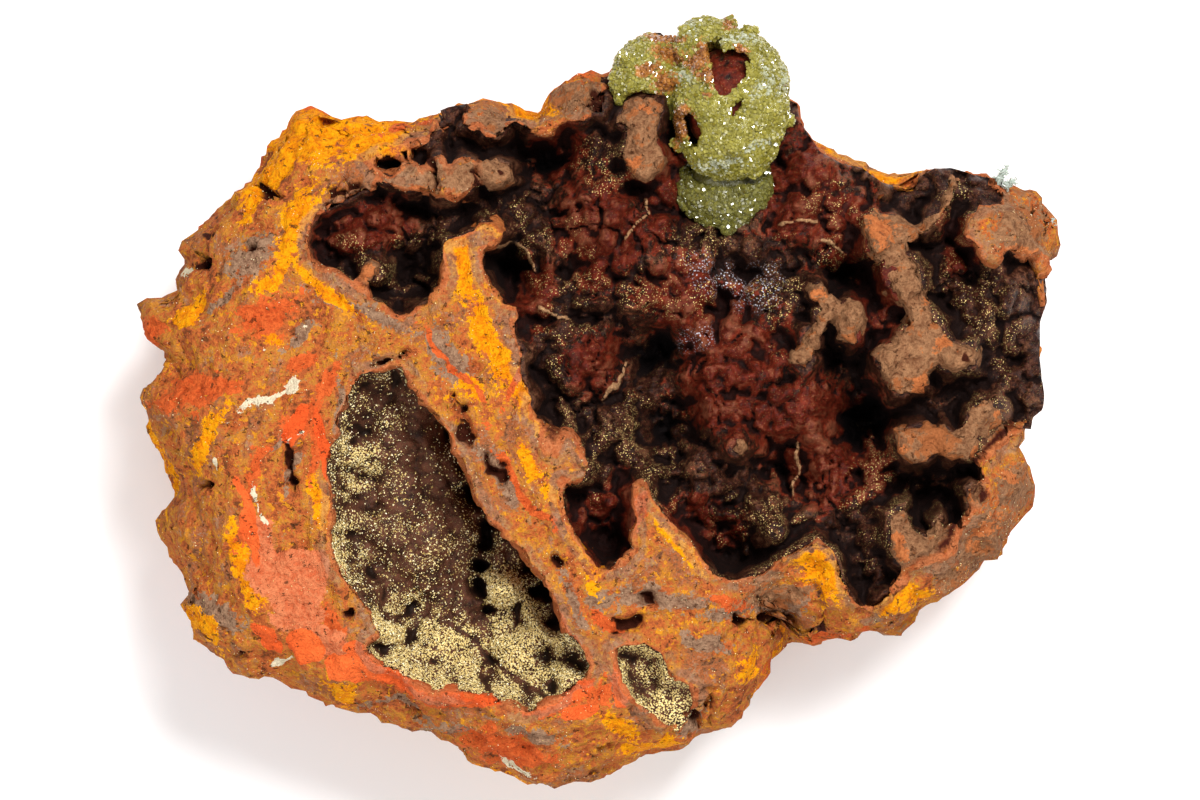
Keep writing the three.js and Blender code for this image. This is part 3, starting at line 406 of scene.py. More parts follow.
def island_distance(plan):
    """Distance to the nearest island's outline, positive inside one."""
    return np.max([signed_distance(plan, outline) for outline in island_outlines], axis=0)


def hollow_distance(plan):
    """Distance to the nearest hollow's outline, positive inside one."""
    outlines = (upper_outline, lower_outline, small_outline)
    return np.max([signed_distance(plan, outline) for outline in outlines], axis=0)


def open_distance(plan):
    """Distance to the nearest wall seen from above, positive in the open hollows."""
    return np.minimum(hollow_distance(plan), -island_distance(plan))


def uphill(plan, distance_at, step=0.05):
    """The direction in which a distance grows fastest."""
    here = distance_at(plan)
    slope = np.column_stack([distance_at(plan + shift) - here for shift in np.eye(2) * step])
    return slope / np.maximum(np.linalg.norm(slope, axis=1, keepdims=True), 1e-9)


def line_distance(plan, lines):
    """Distance to the nearest of some thin lines."""
    nearest = np.full(len(plan), np.inf)
    for line in lines:
        line = in_frame(line)
        for start, end in zip(line, line[1:]):
            edge = end - start
            along = np.clip((plan - start) @ edge / (edge @ edge), 0, 1)
            nearest = np.minimum(nearest, np.hypot(*(plan - start - along[:, None] * edge).T))
    return nearest


def ridges(plan, lines, width):
    """1 along thin lines, falling off over that width."""
    return np.exp(-((line_distance(plan, lines) / width) ** 2))


def patches(plan, spots):
    """How deep a point is in any of the patches: 1 at a middle, 0.5 on an edge.

    A patch is [right, down, half length, half width, turn in degrees].
    """
    deepest = np.zeros(len(plan))
    for centre, (_, _, length, width, turn) in zip(in_frame([s[:2] for s in spots]), spots):
        angle = math.radians(turn)
        along = (plan - centre) @ (math.cos(angle), math.sin(angle))
        across = (plan - centre) @ (-math.sin(angle), math.cos(angle))
        deepest = np.maximum(deepest, 1 - 0.5 * np.hypot(along / length, across / width))
    return np.maximum(deepest, 0)


# Meshes


def finished(name, mesh_or_bmesh, node, finish, smooth=True):
    if isinstance(mesh_or_bmesh, bmesh.types.BMesh):
        mesh = bpy.data.meshes.new(name)
        mesh_or_bmesh.to_mesh(mesh)
        mesh_or_bmesh.free()
    else:
        mesh = mesh_or_bmesh
    mesh.transform(Matrix.Scale(MM, 4))
    mesh.shade_smooth() if smooth else mesh.shade_flat()
    piece = bpy.data.objects.new(name, mesh)
    bpy.context.scene.collection.objects.link(piece)
    piece.data.materials.append(finish)
    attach(piece, "root")
    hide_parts(node)
    return piece


def places_of(mesh):
    """The places of a mesh's vertices, one in each row."""
    places = np.empty(len(mesh.vertices) * 3)
    mesh.vertices.foreach_get("co", places)
    return places.reshape(-1, 3)


def normals_of(mesh):
    """The directions that a mesh's vertices face."""
    normals = np.empty(len(mesh.vertices) * 3)
    mesh.vertex_normals.foreach_get("vector", normals)
    return normals.reshape(-1, 3)


def move_to(mesh, places):
    """Moves a mesh's vertices to new places."""
    mesh.vertices.foreach_set("co", places.ravel())
    mesh.update()


def give(mesh, **values):
    """Stores numbers on a mesh's vertices for its finish to read."""
    for name, numbers in values.items():
        mesh.attributes.new(name, "FLOAT", "POINT").data.foreach_set("value", numbers)


def remeshed(node, voxel, smoothing):
    """A copy of a solid in even small faces, in millimetres."""
    bm = bmesh.new()
    bm.from_mesh(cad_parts[node].data)
    bmesh.ops.remove_doubles(bm, verts=bm.verts, dist=1e-6)
    bmesh.ops.scale(bm, vec=(1 / MM,) * 3, verts=bm.verts)
    rough = bpy.data.meshes.new(node)
    bm.to_mesh(rough)
    bm.free()
    holder = bpy.data.objects.new(node + "_copy", rough)
    bpy.context.scene.collection.objects.link(holder)
    evening = holder.modifiers.new("even faces", "REMESH")
    evening.mode = "VOXEL"
    evening.voxel_size = voxel
    relax = holder.modifiers.new("relax", "SMOOTH")
    relax.factor = 0.5
    relax.iterations = smoothing
    bpy.context.view_layer.update()
    depsgraph = bpy.context.evaluated_depsgraph_get()
    mesh = bpy.data.meshes.new_from_object(holder.evaluated_get(depsgraph))
    bpy.data.objects.remove(holder)
    bpy.data.meshes.remove(rough)
    return mesh


# Finishes


class Value:
    """A shader socket that takes part in arithmetic."""

    def __init__(self, finish, socket):
        self.finish = finish
        self.socket = socket

    def calculate(self, operation, first, second):
        return self.finish.node("ShaderNodeMath", {"operation": operation}, {0: first, 1: second})

    def __add__(self, other):
        return self.calculate("ADD", self, other)

    def __sub__(self, other):
        return self.calculate("SUBTRACT", self, other)

    def __rsub__(self, other):
        return self.calculate("SUBTRACT", other, self)

    def __mul__(self, other):
        return self.calculate("MULTIPLY", self, other)

    __radd__ = __add__
    __rmul__ = __mul__

    def step(self, low, high):
        """0 below low and 1 above high, with a smooth ramp between."""
        settings = {"interpolation_type": "SMOOTHSTEP"}
        return self.finish.node("ShaderNodeMapRange", settings, {"Value": self, 1: low, 2: high})


class Finish:
    """A material whose pattern is written as expressions on Values."""

    def __init__(self, name, **constants):
        self.material = bpy.data.materials.new(name)
        self.material.use_nodes = True
        self.nodes = self.material.node_tree.nodes
        self.links = self.material.node_tree.links
        self.surface = self.nodes["Principled BSDF"]
        for socket, value in constants.items():
            self.surface.inputs[socket.replace("_", " ")].default_value = value
        self.object_places = self.node("ShaderNodeTexCoord", {}, {}, "Object")

    def node(self, kind, settings, inputs, output=0):
        """One output of a new node."""
        node = self.nodes.new(kind)
        for setting, value in settings.items():
            if setting == "stops":
                self.set_stops(node.color_ramp, value)
            else:
                setattr(node, setting, value)
        for socket, value in inputs.items():
            self.feed(node.inputs[socket], value)
        return Value(self, node.outputs[output])

    def feed(self, socket, value):
        if isinstance(value, Value):
            self.links.new(value.socket, socket)
        else:
            socket.default_value = value

    def set_stops(self, ramp, stops):
        while len(ramp.elements) < len(stops):
            ramp.elements.new(0.5)
        for element, (position, colour) in zip(ramp.elements, stops):
            element.position = position
            element.color = (*colour, 1)

    def stored(self, name):
        """A number stored on the mesh's vertices."""
        return self.node("ShaderNodeAttribute", {"attribute_name": name}, {}, "Fac")

    def noise(self, size, detail=3, roughness=0.6, lacunarity=2.0):
        """Noise from 0 to 1 with features about size millimetres wide."""
        inputs = {
            "Vector": self.object_places,
            "Scale": 1 / (size * MM),
            "Detail": detail,
            "Roughness": roughness,
            "Lacunarity": lacunarity,
        }
        return self.node("ShaderNodeTexNoise", {}, inputs, "Fac")

    def specks(self, size):
        """Distance to the nearest of points spread about size millimetres apart, in their widths."""
        inputs = {"Vector": self.object_places, "Scale": 1 / (size * MM)}
        return self.node("ShaderNodeTexVoronoi", {}, inputs, "Distance")

    def blend(self, share, below, above):
        """A colour, with another over it in that share."""
        settings = {"data_type": "RGBA"}
        colours = {6: self.colour(below), 7: self.colour(above)}
        return self.node("ShaderNodeMix", settings, {0: share, **colours}, 2)

    def colour(self, value):
        return value if isinstance(value, Value) else (*value, 1)

    def ramp(self, share, stops):
        """The colour of a share from 0 to 1 between stops of (position, colour)."""
        return self.node("ShaderNodeValToRGB", {"stops": stops}, {0: share})

    def dim(self, colour, share):
        """A colour made darker below 1 and lighter above it."""
        return self.node("ShaderNodeVectorMath", {"operation": "SCALE"}, {0: colour, 3: share})

    def bump(self, height, depth):
        """Relief of that depth in millimetres for a height from 0 to 1."""
        inputs = {"Height": height, "Distance": depth * MM, "Strength": 1.0}
        return self.node("ShaderNodeBump", {}, inputs)

    def use(self, **patterns):
        """Puts patterns on the surface's sockets and gives the material."""
        for socket, value in patterns.items():
            self.feed(self.surface.inputs[socket.replace("_", " ")], value)
        return self.material


# Limonite: [right, down, half length, half width, turn in degrees]

YELLOW_OCHRE = [
    (30.4, 13.6, 5.0, 2.2, 0), (37.0, 14.0, 3.6, 1.6, -20), (26.6, 17.4, 3.4, 1.4, 42),
    (29.6, 22.4, 4.0, 1.3, 70), (46.4, 26.6, 3.8, 0.9, -80), (48.6, 34.2, 5.4, 1.1, -68),
    (52.4, 40.0, 3.0, 0.9, -60), (57.0, 53.0, 5.4, 0.8, -62), (53.2, 11.2, 2.2, 0.9, 0),
    (82.6, 57.4, 3.2, 2.2, -60), (90.4, 60.4, 2.2, 1.2, 10), (34.4, 68.6, 1.0, 1.5, 0),
    (24.4, 57.0, 3.6, 1.0, -70), (20.6, 63.2, 2.4, 1.0, -40), (104.2, 34.0, 3.0, 0.5, -88),
    (65.4, 74.6, 2.4, 0.8, 10), (62.0, 72.6, 1.8, 0.7, -30), (32.4, 51.0, 3.6, 0.6, -80),
    (68.0, 55.0, 2.6, 0.6, -60), (21.0, 44.0, 3.0, 0.8, 60), (74.4, 66.6, 1.8, 1.0, 60),
    (27.6, 27.0, 2.2, 0.7, 30), (49.0, 23.4, 1.6, 0.7, 0), (33.4, 29.2, 4.6, 0.5, -40),
    (52.6, 46.4, 2.0, 0.8, -50), (19.0, 31.0, 2.0, 0.7, 50), (70.4, 51.8, 2.4, 0.4, -58),
    (27.6, 33.6, 0.9, 0.5, 0), (24.6, 20.6, 1.6, 0.7, 50), (46.6, 38.6, 1.4, 0.8, -60),
]
RED_ORANGE = [
    (63.9, 49.6, 0.9, 1.6, 0), (56.4, 64.0, 2.4, 0.5, -60),
    (20.0, 39.6, 3.6, 1.6, 10), (30.2, 41.4, 2.6, 1.2, 50), (32.6, 37.8, 2.0, 0.7, 60),
    (38.4, 67.4, 3.4, 1.0, -30), (46.0, 69.6, 4.6, 0.7, 0), (55.4, 69.8, 3.2, 1.3, 14),
    (62.2, 67.8, 1.1, 2.2, 10), (36.6, 27.0, 1.4, 1.3, 0), (25.4, 46.6, 2.4, 0.8, 70),
    (27.0, 31.6, 3.6, 2.0, 20), (64.0, 50.4, 1.0, 2.4, 0), (60.0, 69.4, 1.2, 1.2, 0),
    (45.4, 36.6, 5.6, 0.35, -56), (30.0, 36.0, 1.4, 0.6, 30), (52.2, 49.6, 6.0, 0.35, -56),
    (24.6, 51.4, 0.7, 3.6, -14), (15.8, 33.4, 1.4, 1.4, 0), (73.0, 60.4, 2.6, 0.6, -10),
    (31.4, 44.8, 0.5, 3.6, 6), (50.6, 74.4, 4.0, 0.9, -14), (38.0, 21.6, 4.6, 0.4, 22),
    (52.0, 37.0, 0.4, 4.0, -20), (57.6, 43.6, 0.9, 1.4, 0), (33.6, 61.8, 1.0, 2.4, 20),
    (41.6, 12.6, 3.6, 0.5, 20), (79.6, 11.4, 0.5, 2.4, 20), (60.6, 62.0, 2.0, 0.9, -40),
]
SALMON = [
    (27.8, 57.0, 3.2, 2.4, 0), (29.6, 60.6, 3.2, 2.4, 0), (26.4, 53.6, 1.6, 2.6, 10),
    (32.6, 63.8, 2.8, 1.5, -30), (31.2, 57.6, 2.0, 2.4, 0),
]
GREY_BROWN = [
    (24.8, 25.4, 3.0, 1.8, 30), (45.0, 35.6, 3.6, 1.3, -60), (37.0, 31.4, 6.0, 0.7, -24),
    (66.0, 59.6, 6.4, 0.9, -6), (74.0, 61.0, 5.4, 0.8, 6), (21.4, 61.6, 3.4, 1.4, -20),
    (34.0, 40.4, 0.5, 5.0, 8), (50.0, 47.4, 0.8, 5.0, 28), (29.4, 46.6, 0.5, 3.4, -8),
    (88.6, 60.6, 0.9, 1.8, 10), (45.4, 72.8, 3.6, 0.6, -10), (57.4, 60.4, 0.9, 3.4, 24),
    (71.0, 64.4, 2.4, 0.9, -10), (79.0, 60.4, 2.0, 1.0, 0), (52.6, 73.4, 3.4, 0.6, -10),
    (30.6, 33.0, 2.4, 0.5, 40), (69.0, 72.4, 2.0, 0.8, 30), (60.6, 59.6, 2.0, 1.2, 0),
    (22.4, 29.4, 2.4, 0.6, 50), (27.4, 43.6, 2.0, 0.4, 50), (40.0, 70.6, 5.0, 0.4, -16),
]
TAN = [
    (101.8, 22.4, 3.2, 3.6, 0), (98.0, 53.6, 3.4, 2.8, 50), (101.4, 49.0, 2.4, 2.4, 0),
    (48.6, 12.0, 2.8, 2.2, 0), (58.0, 9.6, 2.4, 2.2, 20), (64.0, 15.6, 2.4, 3.0, 0),
    (64.6, 11.0, 2.6, 2.0, 0), (43.0, 17.4, 7.0, 1.6, 12), (46.4, 18.0, 3.4, 1.6, 12),
    (94.0, 57.0, 3.0, 1.4, -40), (75.0, 57.6, 3.0, 1.2, 10), (94.4, 17.8, 2.6, 1.2, 0),
    (96.6, 56.0, 2.4, 1.4, -30), (78.0, 59.4, 4.0, 1.0, 10), (104.0, 43.0, 1.0, 8.0, 0),
]
# Flat red flakes
PLATES = [
    (37.6, 66.4, 2.6, 0.8, -35), (40.8, 68.3, 2.0, 0.7, -25), (46.6, 69.7, 2.6, 0.5, -8),
    (55.6, 69.7, 2.8, 0.9, 18), (61.9, 67.8, 0.8, 2.0, 10), (31.0, 64.4, 1.6, 0.9, -30),
    (29.8, 42.2, 0.7, 1.8, -30), (32.4, 44.6, 0.5, 2.6, 4), (25.2, 52.0, 0.5, 3.2, 14),
    (34.6, 66.8, 1.4, 0.7, -30), (58.0, 71.2, 1.4, 0.5, 10), (27.0, 63.6, 1.4, 0.6, -40),
]
# Red spots on the islands
EMBERS = [
    (87.4, 22.6, 1.4, 1.6, 0), (94.6, 34.6, 1.4, 0.8, 20), (89.8, 44.8, 1.0, 0.9, 0),
    (80.3, 36.3, 1.1, 0.9, 0), (96.8, 46.0, 1.2, 0.6, 40), (73.6, 43.8, 0.7, 0.7, 0),
    (73.4, 46.8, 0.6, 0.5, 0), (98.4, 53.0, 2.6, 0.9, 50), (96.0, 49.6, 0.9, 0.7, 0),
    (99.6, 40.8, 1.4, 0.5, 20), (37.4, 27.2, 1.2, 0.9, 0), (63.6, 16.0, 1.2, 0.5, 30),
    (93.6, 31.4, 0.6, 1.6, 40), (101.6, 24.4, 1.6, 0.8, 0), (77.5, 53.0, 0.7, 0.6, 0),
    (81.4, 29.2, 0.7, 0.6, 0), (91.6, 38.6, 0.7, 1.0, 0), (39.6, 17.4, 2.2, 0.5, 20),
    (79.9, 10.6, 0.5, 2.2, 30), (81.6, 14.2, 0.4, 2.0, 30), (103.2, 30.0, 0.5, 2.0, 0),
    (89.6, 54.4, 0.6, 1.4, 0), (100.4, 47.6, 1.4, 0.6, -30), (65.0, 11.0, 1.0, 0.6, 0),
]
WHITE = [
    (26.6, 39.8, 3.2, 0.35, 36), (29.0, 38.0, 1.0, 0.5, 30), (26.6, 51.4, 3.0, 0.3, -64),
    (51.6, 76.0, 2.0, 0.3, -34), (31.2, 32.4, 0.35, 0.2, 0), (26.6, 34.8, 0.3, 0.2, 0),
    (18.2, 27.2, 0.7, 0.4, 40), (22.0, 46.0, 1.0, 0.2, 70), (28.2, 65.6, 1.2, 0.2, 20),
    (16.8, 36.8, 0.3, 0.5, 0), (29.0, 43.4, 1.0, 0.18, 40), (35.0, 43.8, 0.3, 0.8, 0),
]
# Deep small holes in the face, painted near-black with shade
HOLES = [
    (43.5, 17.4, 0.5, 1.8, 0), (47.6, 17.6, 0.5, 1.6, 10), (39.6, 19.2, 1.4, 0.4, -10),
    (50.2, 17.4, 0.35, 0.35, 0), (93.0, 30.8, 0.5, 0.4, 0), (96.0, 35.6, 0.5, 0.5, 0),
    (33.4, 21.0, 0.7, 0.5, 0), (62.0, 10.4, 0.5, 0.9, 0),
    (19.7, 25.5, 1.0, 1.1, 30), (34.5, 19.0, 1.4, 0.9, 30), (20.7, 23.5, 0.9, 0.6, 60),
    (26.8, 18.9, 1.3, 0.6, -22), (65.3, 59.5, 1.0, 0.8, 20), (62.8, 62.4, 1.3, 0.7, 0),
    (81.8, 62.6, 0.9, 0.7, 0), (46.8, 43.2, 1.7, 0.75, -62), (50.1, 47.2, 1.6, 0.8, -60),
    (75.4, 61.9, 3.4, 0.5, 0), (70.0, 71.2, 1.9, 1.1, 50), (59.6, 10.2, 1.3, 1.3, 0),
    (29.2, 46.8, 3.0, 0.35, -78), (35.0, 61.2, 0.9, 0.35, 0), (25.0, 24.9, 0.7, 0.6, 0),
    (21.6, 21.6, 0.9, 0.5, 50), (30.8, 28.6, 0.5, 0.35, 0), (40.0, 35.4, 2.4, 0.2, 24),
    (55.6, 56.0, 0.8, 0.5, -50), (46.2, 40.2, 1.0, 0.4, -60), (20.4, 48.6, 0.6, 0.4, 0),
    (23.6, 65.6, 0.9, 0.5, 0), (42.6, 71.6, 1.0, 0.35, -14), (60.4, 74.8, 0.8, 0.5, 0),
]
# Where gaps between the islands are narrower than the block's even faces
NARROW_GAPS = [(44.0, 16.4, 9.5, 4.2, 0)]
# Where gold lies on the dark crust, and where the crust is redder
GOLD_DUST = [
    (37.5, 27.4, 5.5, 2.6, 0), (43.4, 26.6, 0.8, 3.4, 0), (57.4, 45.0, 2.0, 5.0, 0),
    (62.0, 44.0, 3.4, 3.0, 20), (66.4, 47.4, 2.4, 5.0, -10), (82.0, 55.4, 7.0, 2.2, 16),
    (75.6, 51.6, 3.6, 2.6, 0), (97.4, 32.0, 5.4, 5.4, 0), (94.0, 27.0, 3.0, 3.0, 0),
    (88.0, 45.6, 3.0, 2.0, 0), (57.4, 30.4, 3.6, 2.0, 20), (62.0, 29.4, 5.0, 1.8, -10),
    (56.0, 24.2, 2.4, 1.6, 0), (60.6, 16.6, 2.4, 3.0, 0), (47.6, 21.6, 3.6, 1.8, 0),
    (78.4, 30.0, 3.0, 4.0, 0), (90.0, 49.4, 4.0, 2.4, 0), (99.0, 43.8, 3.0, 3.0, 0),
    (70.0, 24.6, 4.0, 1.4, 0), (52.6, 24.4, 1.0, 4.0, 0), (88.0, 53.0, 3.0, 3.0, 0),
    (55.4, 37.0, 1.0, 4.0, 0), (67.0, 29.0, 5.0, 1.6, 0), (84.0, 21.0, 4.0, 1.2, -30),
    (96.0, 20.0, 2.0, 2.6, 0), (85.0, 27.0, 3.0, 2.0, 0),
]
MAROON = [
    (60.0, 23.0, 3.4, 4.4, 0), (80.0, 19.0, 3.6, 4.4, 0), (73.0, 37.0, 4.4, 6.4, 0),
    (59.6, 36.4, 2.6, 3.0, 0), (83.0, 44.0, 4.4, 5.4, 0), (68.6, 30.4, 4.0, 3.4, 0),
    (88.0, 30.0, 2.0, 4.0, 0), (53.4, 30.0, 1.4, 3.0, 0), (66.4, 19.0, 2.0, 4.4, 0),
    (61.0, 51.4, 2.4, 3.4, 0), (70.4, 52.4, 3.0, 2.4, 0), (56.0, 14.4, 2.0, 3.0, 0),
    (84.4, 23.4, 3.0, 3.0, 0), (95.6, 24.0, 1.4, 3.0, 0), (37.0, 23.0, 4.0, 2.0, 20),
    (79.0, 42.4, 3.0, 3.0, 0),
]
# Spots with a painted silvery glint, a painted highlight on the dark crust
PAINTED_CRUST_GLINTS = [(73.0, 28.4, 3.4, 1.5, -25), (76.2, 27.6, 1.8, 1.1, 0), (69.8, 33.8, 1.6, 1.0, 20)]
# Where gold lies thick and thin in the lower hollow
THICK_DUST = [
    (44.4, 65.6, 8.0, 3.4, -16), (53.4, 66.8, 5.4, 3.4, 0), (50.4, 58.8, 2.0, 2.2, 0),
    (39.6, 62.4, 3.0, 2.4, -30), (34.8, 54.6, 1.6, 3.4, 0), (51.8, 63.0, 3.0, 3.0, 0),
    (35.6, 47.0, 1.4, 3.0, 0),
]
THIN_DUST = [
    (42.6, 43.2, 2.0, 3.4, -20), (44.6, 49.6, 1.2, 2.6, 10), (41.4, 39.6, 1.4, 1.0, 0),
    (47.6, 60.6, 1.0, 1.6, 0), (37.0, 50.6, 1.6, 0.5, -20), (40.0, 61.0, 1.6, 0.5, -30),
]
# Lines along the dark crust's thin broken walls and between the lower hollow's mounds
THIN_WALLS = [
    [(62.8, 36.0), (62.3, 37.4), (61.5, 38.5), (60.5, 40.0)],
    [(64.2, 20.0), (64.8, 21.5), (64.0, 22.2), (62.5, 24.0)],
    [(78.0, 22.4), (80.0, 22.0), (81.5, 22.2)],
    [(82.2, 24.0), (83.5, 24.3), (84.5, 25.5)],
    [(54.0, 31.0), (55.5, 31.8), (57.0, 31.6)],
    [(50.0, 24.5), (51.5, 24.0), (52.8, 25.5), (53.5, 27.0)],
    [(79.5, 44.5), (80.0, 46.5), (79.3, 49.5)],
]
CRACKS = [
    [(44.1, 62.1), (47.1, 64.0), (48.9, 65.9), (52.3, 68.3), (54.6, 69.6)],
    [(48.9, 65.9), (48.0, 67.4), (49.1, 69.6)],
    [(36.6, 56.6), (38.4, 58.6), (38.2, 61.0), (40.4, 62.4)],
    [(42.4, 61.6), (43.2, 58.8), (46.4, 58.0), (47.2, 61.2), (45.6, 63.2)],
    [(34.0, 50.4), (36.4, 50.8), (38.8, 49.8)],
]


def reach(outline, angles):
    """How far an outline reaches from the middle at each angle."""
    aim = np.column_stack([np.cos(angles), np.sin(angles)])
    farthest = np.zeros(len(angles))
    for start, end in zip(outline, np.roll(outline, -1, axis=0)):
        edge = end - start
        across = edge[0] * aim[:, 1] - edge[1] * aim[:, 0]
        across = np.where(np.abs(across) < 1e-9, 1e-9, across)
        share = (start[1] * aim[:, 0] - start[0] * aim[:, 1]) / across
        meets = (share >= 0) & (share <= 1)
        along = np.sum((start + share[:, None] * edge) * aim, axis=1)
        farthest = np.maximum(farthest, np.where(meets, along, 0))
    return farthest


def limonite_finish():
    """Layered ochres with patches and rims of their own colours, and painted shade in pits, small holes and
    down the hollows' walls.
    """
    skin = Finish("limonite", Specular_IOR_Level=0.04)
    grain, crumbs, broad = skin.noise(0.2, 2, 0.6), skin.noise(1.4, 4, 0.7), skin.noise(6, 4, 0.6)
    mottle, spots = skin.noise(0.55, 3, 0.7), skin.noise(0.9, 2, 0.6, 2.3)
    ragged = 1.5 * (crumbs - 0.5) + 0.9 * (mottle - 0.5)
    layer = {"W": skin.stored("layer") * 0.5 + crumbs, "Scale": 1.0, "Detail": 2.0, "Roughness": 0.5}
    band = skin.node("ShaderNodeTexNoise", {"noise_dimensions": "1D"}, layer, "Fac")

    def patch(name, shift=0.0):
        return (skin.stored(name) + ragged + shift).step(0.47, 0.53)

    orange = skin.ramp(
        0.45 * crumbs + 0.3 * broad + 0.25 * band + 0.3 * (mottle - 0.5),
        [
            (0.38, (0.19, 0.060, 0.020)), (0.43, (0.42, 0.100, 0.030)), (0.475, (0.58, 0.145, 0.034)),
            (0.51, (0.50, 0.195, 0.036)), (0.55, (0.62, 0.23, 0.024)), (0.60, (0.76, 0.30, 0.018)),
        ],
    )
    brown = skin.ramp(
        0.6 * crumbs + 0.4 * mottle,
        [
            (0.38, (0.11, 0.045, 0.022)), (0.46, (0.34, 0.13, 0.055)), (0.52, (0.46, 0.125, 0.035)),
            (0.58, (0.40, 0.20, 0.11)), (0.64, (0.62, 0.28, 0.05)),
        ],
    )
    base = skin.blend((broad + 0.7 * band + 0.5 * crumbs).step(1.14, 1.22), orange, brown)
    base = skin.blend(spots.step(0.60, 0.65) * 0.85, base, (0.76, 0.30, 0.016))
    base = skin.blend(mottle.step(0.61, 0.67) * 0.6, base, (0.30, 0.17, 0.115))
    fleck = (0.4 * crumbs + 0.6 * mottle).step(0.36, 0.60)
    grey = skin.blend(fleck, (0.18, 0.080, 0.045), (0.40, 0.23, 0.135))
    colour = skin.blend(patch("grey", -0.05), base, grey)
    yellow = skin.ramp(
        0.5 * crumbs + 0.5 * mottle,
        [(0.36, (0.50, 0.13, 0.010)), (0.46, (0.84, 0.24, 0.003)), (0.56, (0.96, 0.38, 0.005))],
    )
    colour = skin.blend(patch("yellow", 0.06), colour, yellow)
    red = skin.blend(fleck, (0.50, 0.065, 0.014), (0.74, 0.135, 0.030))
    colour = skin.blend(patch("red"), colour, red)
    salmon = skin.blend(fleck, (0.60, 0.12, 0.042), (0.76, 0.23, 0.095))
    colour = skin.blend((skin.stored("salmon") + 0.4 * ragged).step(0.47, 0.53), colour, salmon)
    tan = skin.blend(fleck, (0.20, 0.080, 0.036), (0.40, 0.195, 0.092))
    rusty = skin.blend((broad + crumbs).step(1.04, 1.12), tan, (0.38, 0.125, 0.042))
    colour = skin.blend(patch("tan"), colour, rusty)
    ember = skin.blend(fleck, (0.38, 0.095, 0.028), (0.60, 0.19, 0.06))
    colour = skin.blend(patch("ember"), colour, ember)
    plate = skin.blend(broad.step(0.3, 0.7), (0.80, 0.10, 0.020), (0.96, 0.17, 0.038))
    colour = skin.blend((skin.stored("plate") + 0.2 * ragged).step(0.30, 0.34), colour, plate)
    colour = skin.blend(patch("white", -0.02), colour, (0.84, 0.72, 0.50))
    rim = skin.stored("rim") + 0.5 * ragged
    line = rim.step(1.3, 1.0) * rim.step(0.25, 0.45) * broad.step(0.40, 0.5)
    colour = skin.blend(line * 0.5, colour, grey)
    lip = rim.step(0.4, 0.2) * rim.step(-0.9, -0.3) * broad.step(0.30, 0.5)
    colour = skin.blend(lip * 0.9, colour, skin.blend(fleck, (0.44, 0.10, 0.03), (0.60, 0.19, 0.07)))
    # Painted shade: near-black down the hollows' walls and floors, away from the islands
    wall = rim.step(-0.2, -0.7) * skin.stored("island").step(-0.1, -0.5) * skin.stored("indoors")
    colour = skin.blend(wall, colour, (0.06, 0.012, 0.007))
    # Painted shade: dark brown in the pits, which also sink into the relief below
    pits_with_painted_shade = skin.noise(0.8, 3, 0.7, 2.1).step(0.37, 0.33)
    hollowed = (skin.stored("pit") + 0.4 * ragged).step(0.3, 0.6)
    colour = skin.blend(pits_with_painted_shade * 0.8, colour, (0.10, 0.035, 0.014))
    # Painted shade: near-black in the small holes dug into the face
    colour = skin.blend(hollowed, colour, (0.060, 0.014, 0.007))
    colour = skin.dim(colour, 0.44 + 0.62 * grain)
    relief = 0.55 * crumbs + 0.35 * mottle + 0.1 * grain - 0.25 * pits_with_painted_shade + 0.15 * band
    return skin.use(Base_Color=colour, Roughness=0.75 + 0.2 * grain, Normal=skin.bump(relief, 1.0))


def follow_outline(places):
    """Moves the block's rim from the solid's plain outline to the true one."""
    angles = np.arctan2(places[:, 1], places[:, 0])
    sides = np.linspace(0, 2 * math.pi, BLOCK_SIDES, endpoint=False)
    plain = np.column_stack([np.cos(sides), np.sin(sides)]) * reach(block_outline, sides)[:, None]
    full = reach(block_outline, angles)
    share = np.hypot(places[:, 0], places[:, 1]) / full
    near_rim = np.clip((share - 0.82) / 0.14, 0, 1) * np.clip((places[:, 2] - 6) / 8, 0, 1)
    places[:, :2] *= (1 + (full / reach(plain, angles) - 1) * near_rim)[:, None]


def sharpen_walls(places, normals):
    """Brings the hollows' walls and rims to their true outlines and the rims to the face."""
    inside = open_distance(places[:, :2])
    lit = (normals[:, 2] > 0.3) & (places[:, 2] > face_height(places[:, :2]) - 3)
    wall = (np.abs(inside) < 1.5) & ~lit & (places[:, 2] > 14)
    stray = lit & (inside > -0.1) & (inside < 1.5)
    for chosen, target in ((wall, 0.0), (stray, -0.1)):
        plan = places[chosen, :2]
        away = (inside[chosen] - target)[:, None] * uphill(plan, open_distance)
        places[chosen, :2] = plan - away * (1 - np.abs(inside[chosen, None]) / 1.6)
    places[lit, 2] = face_height(places[lit, :2])


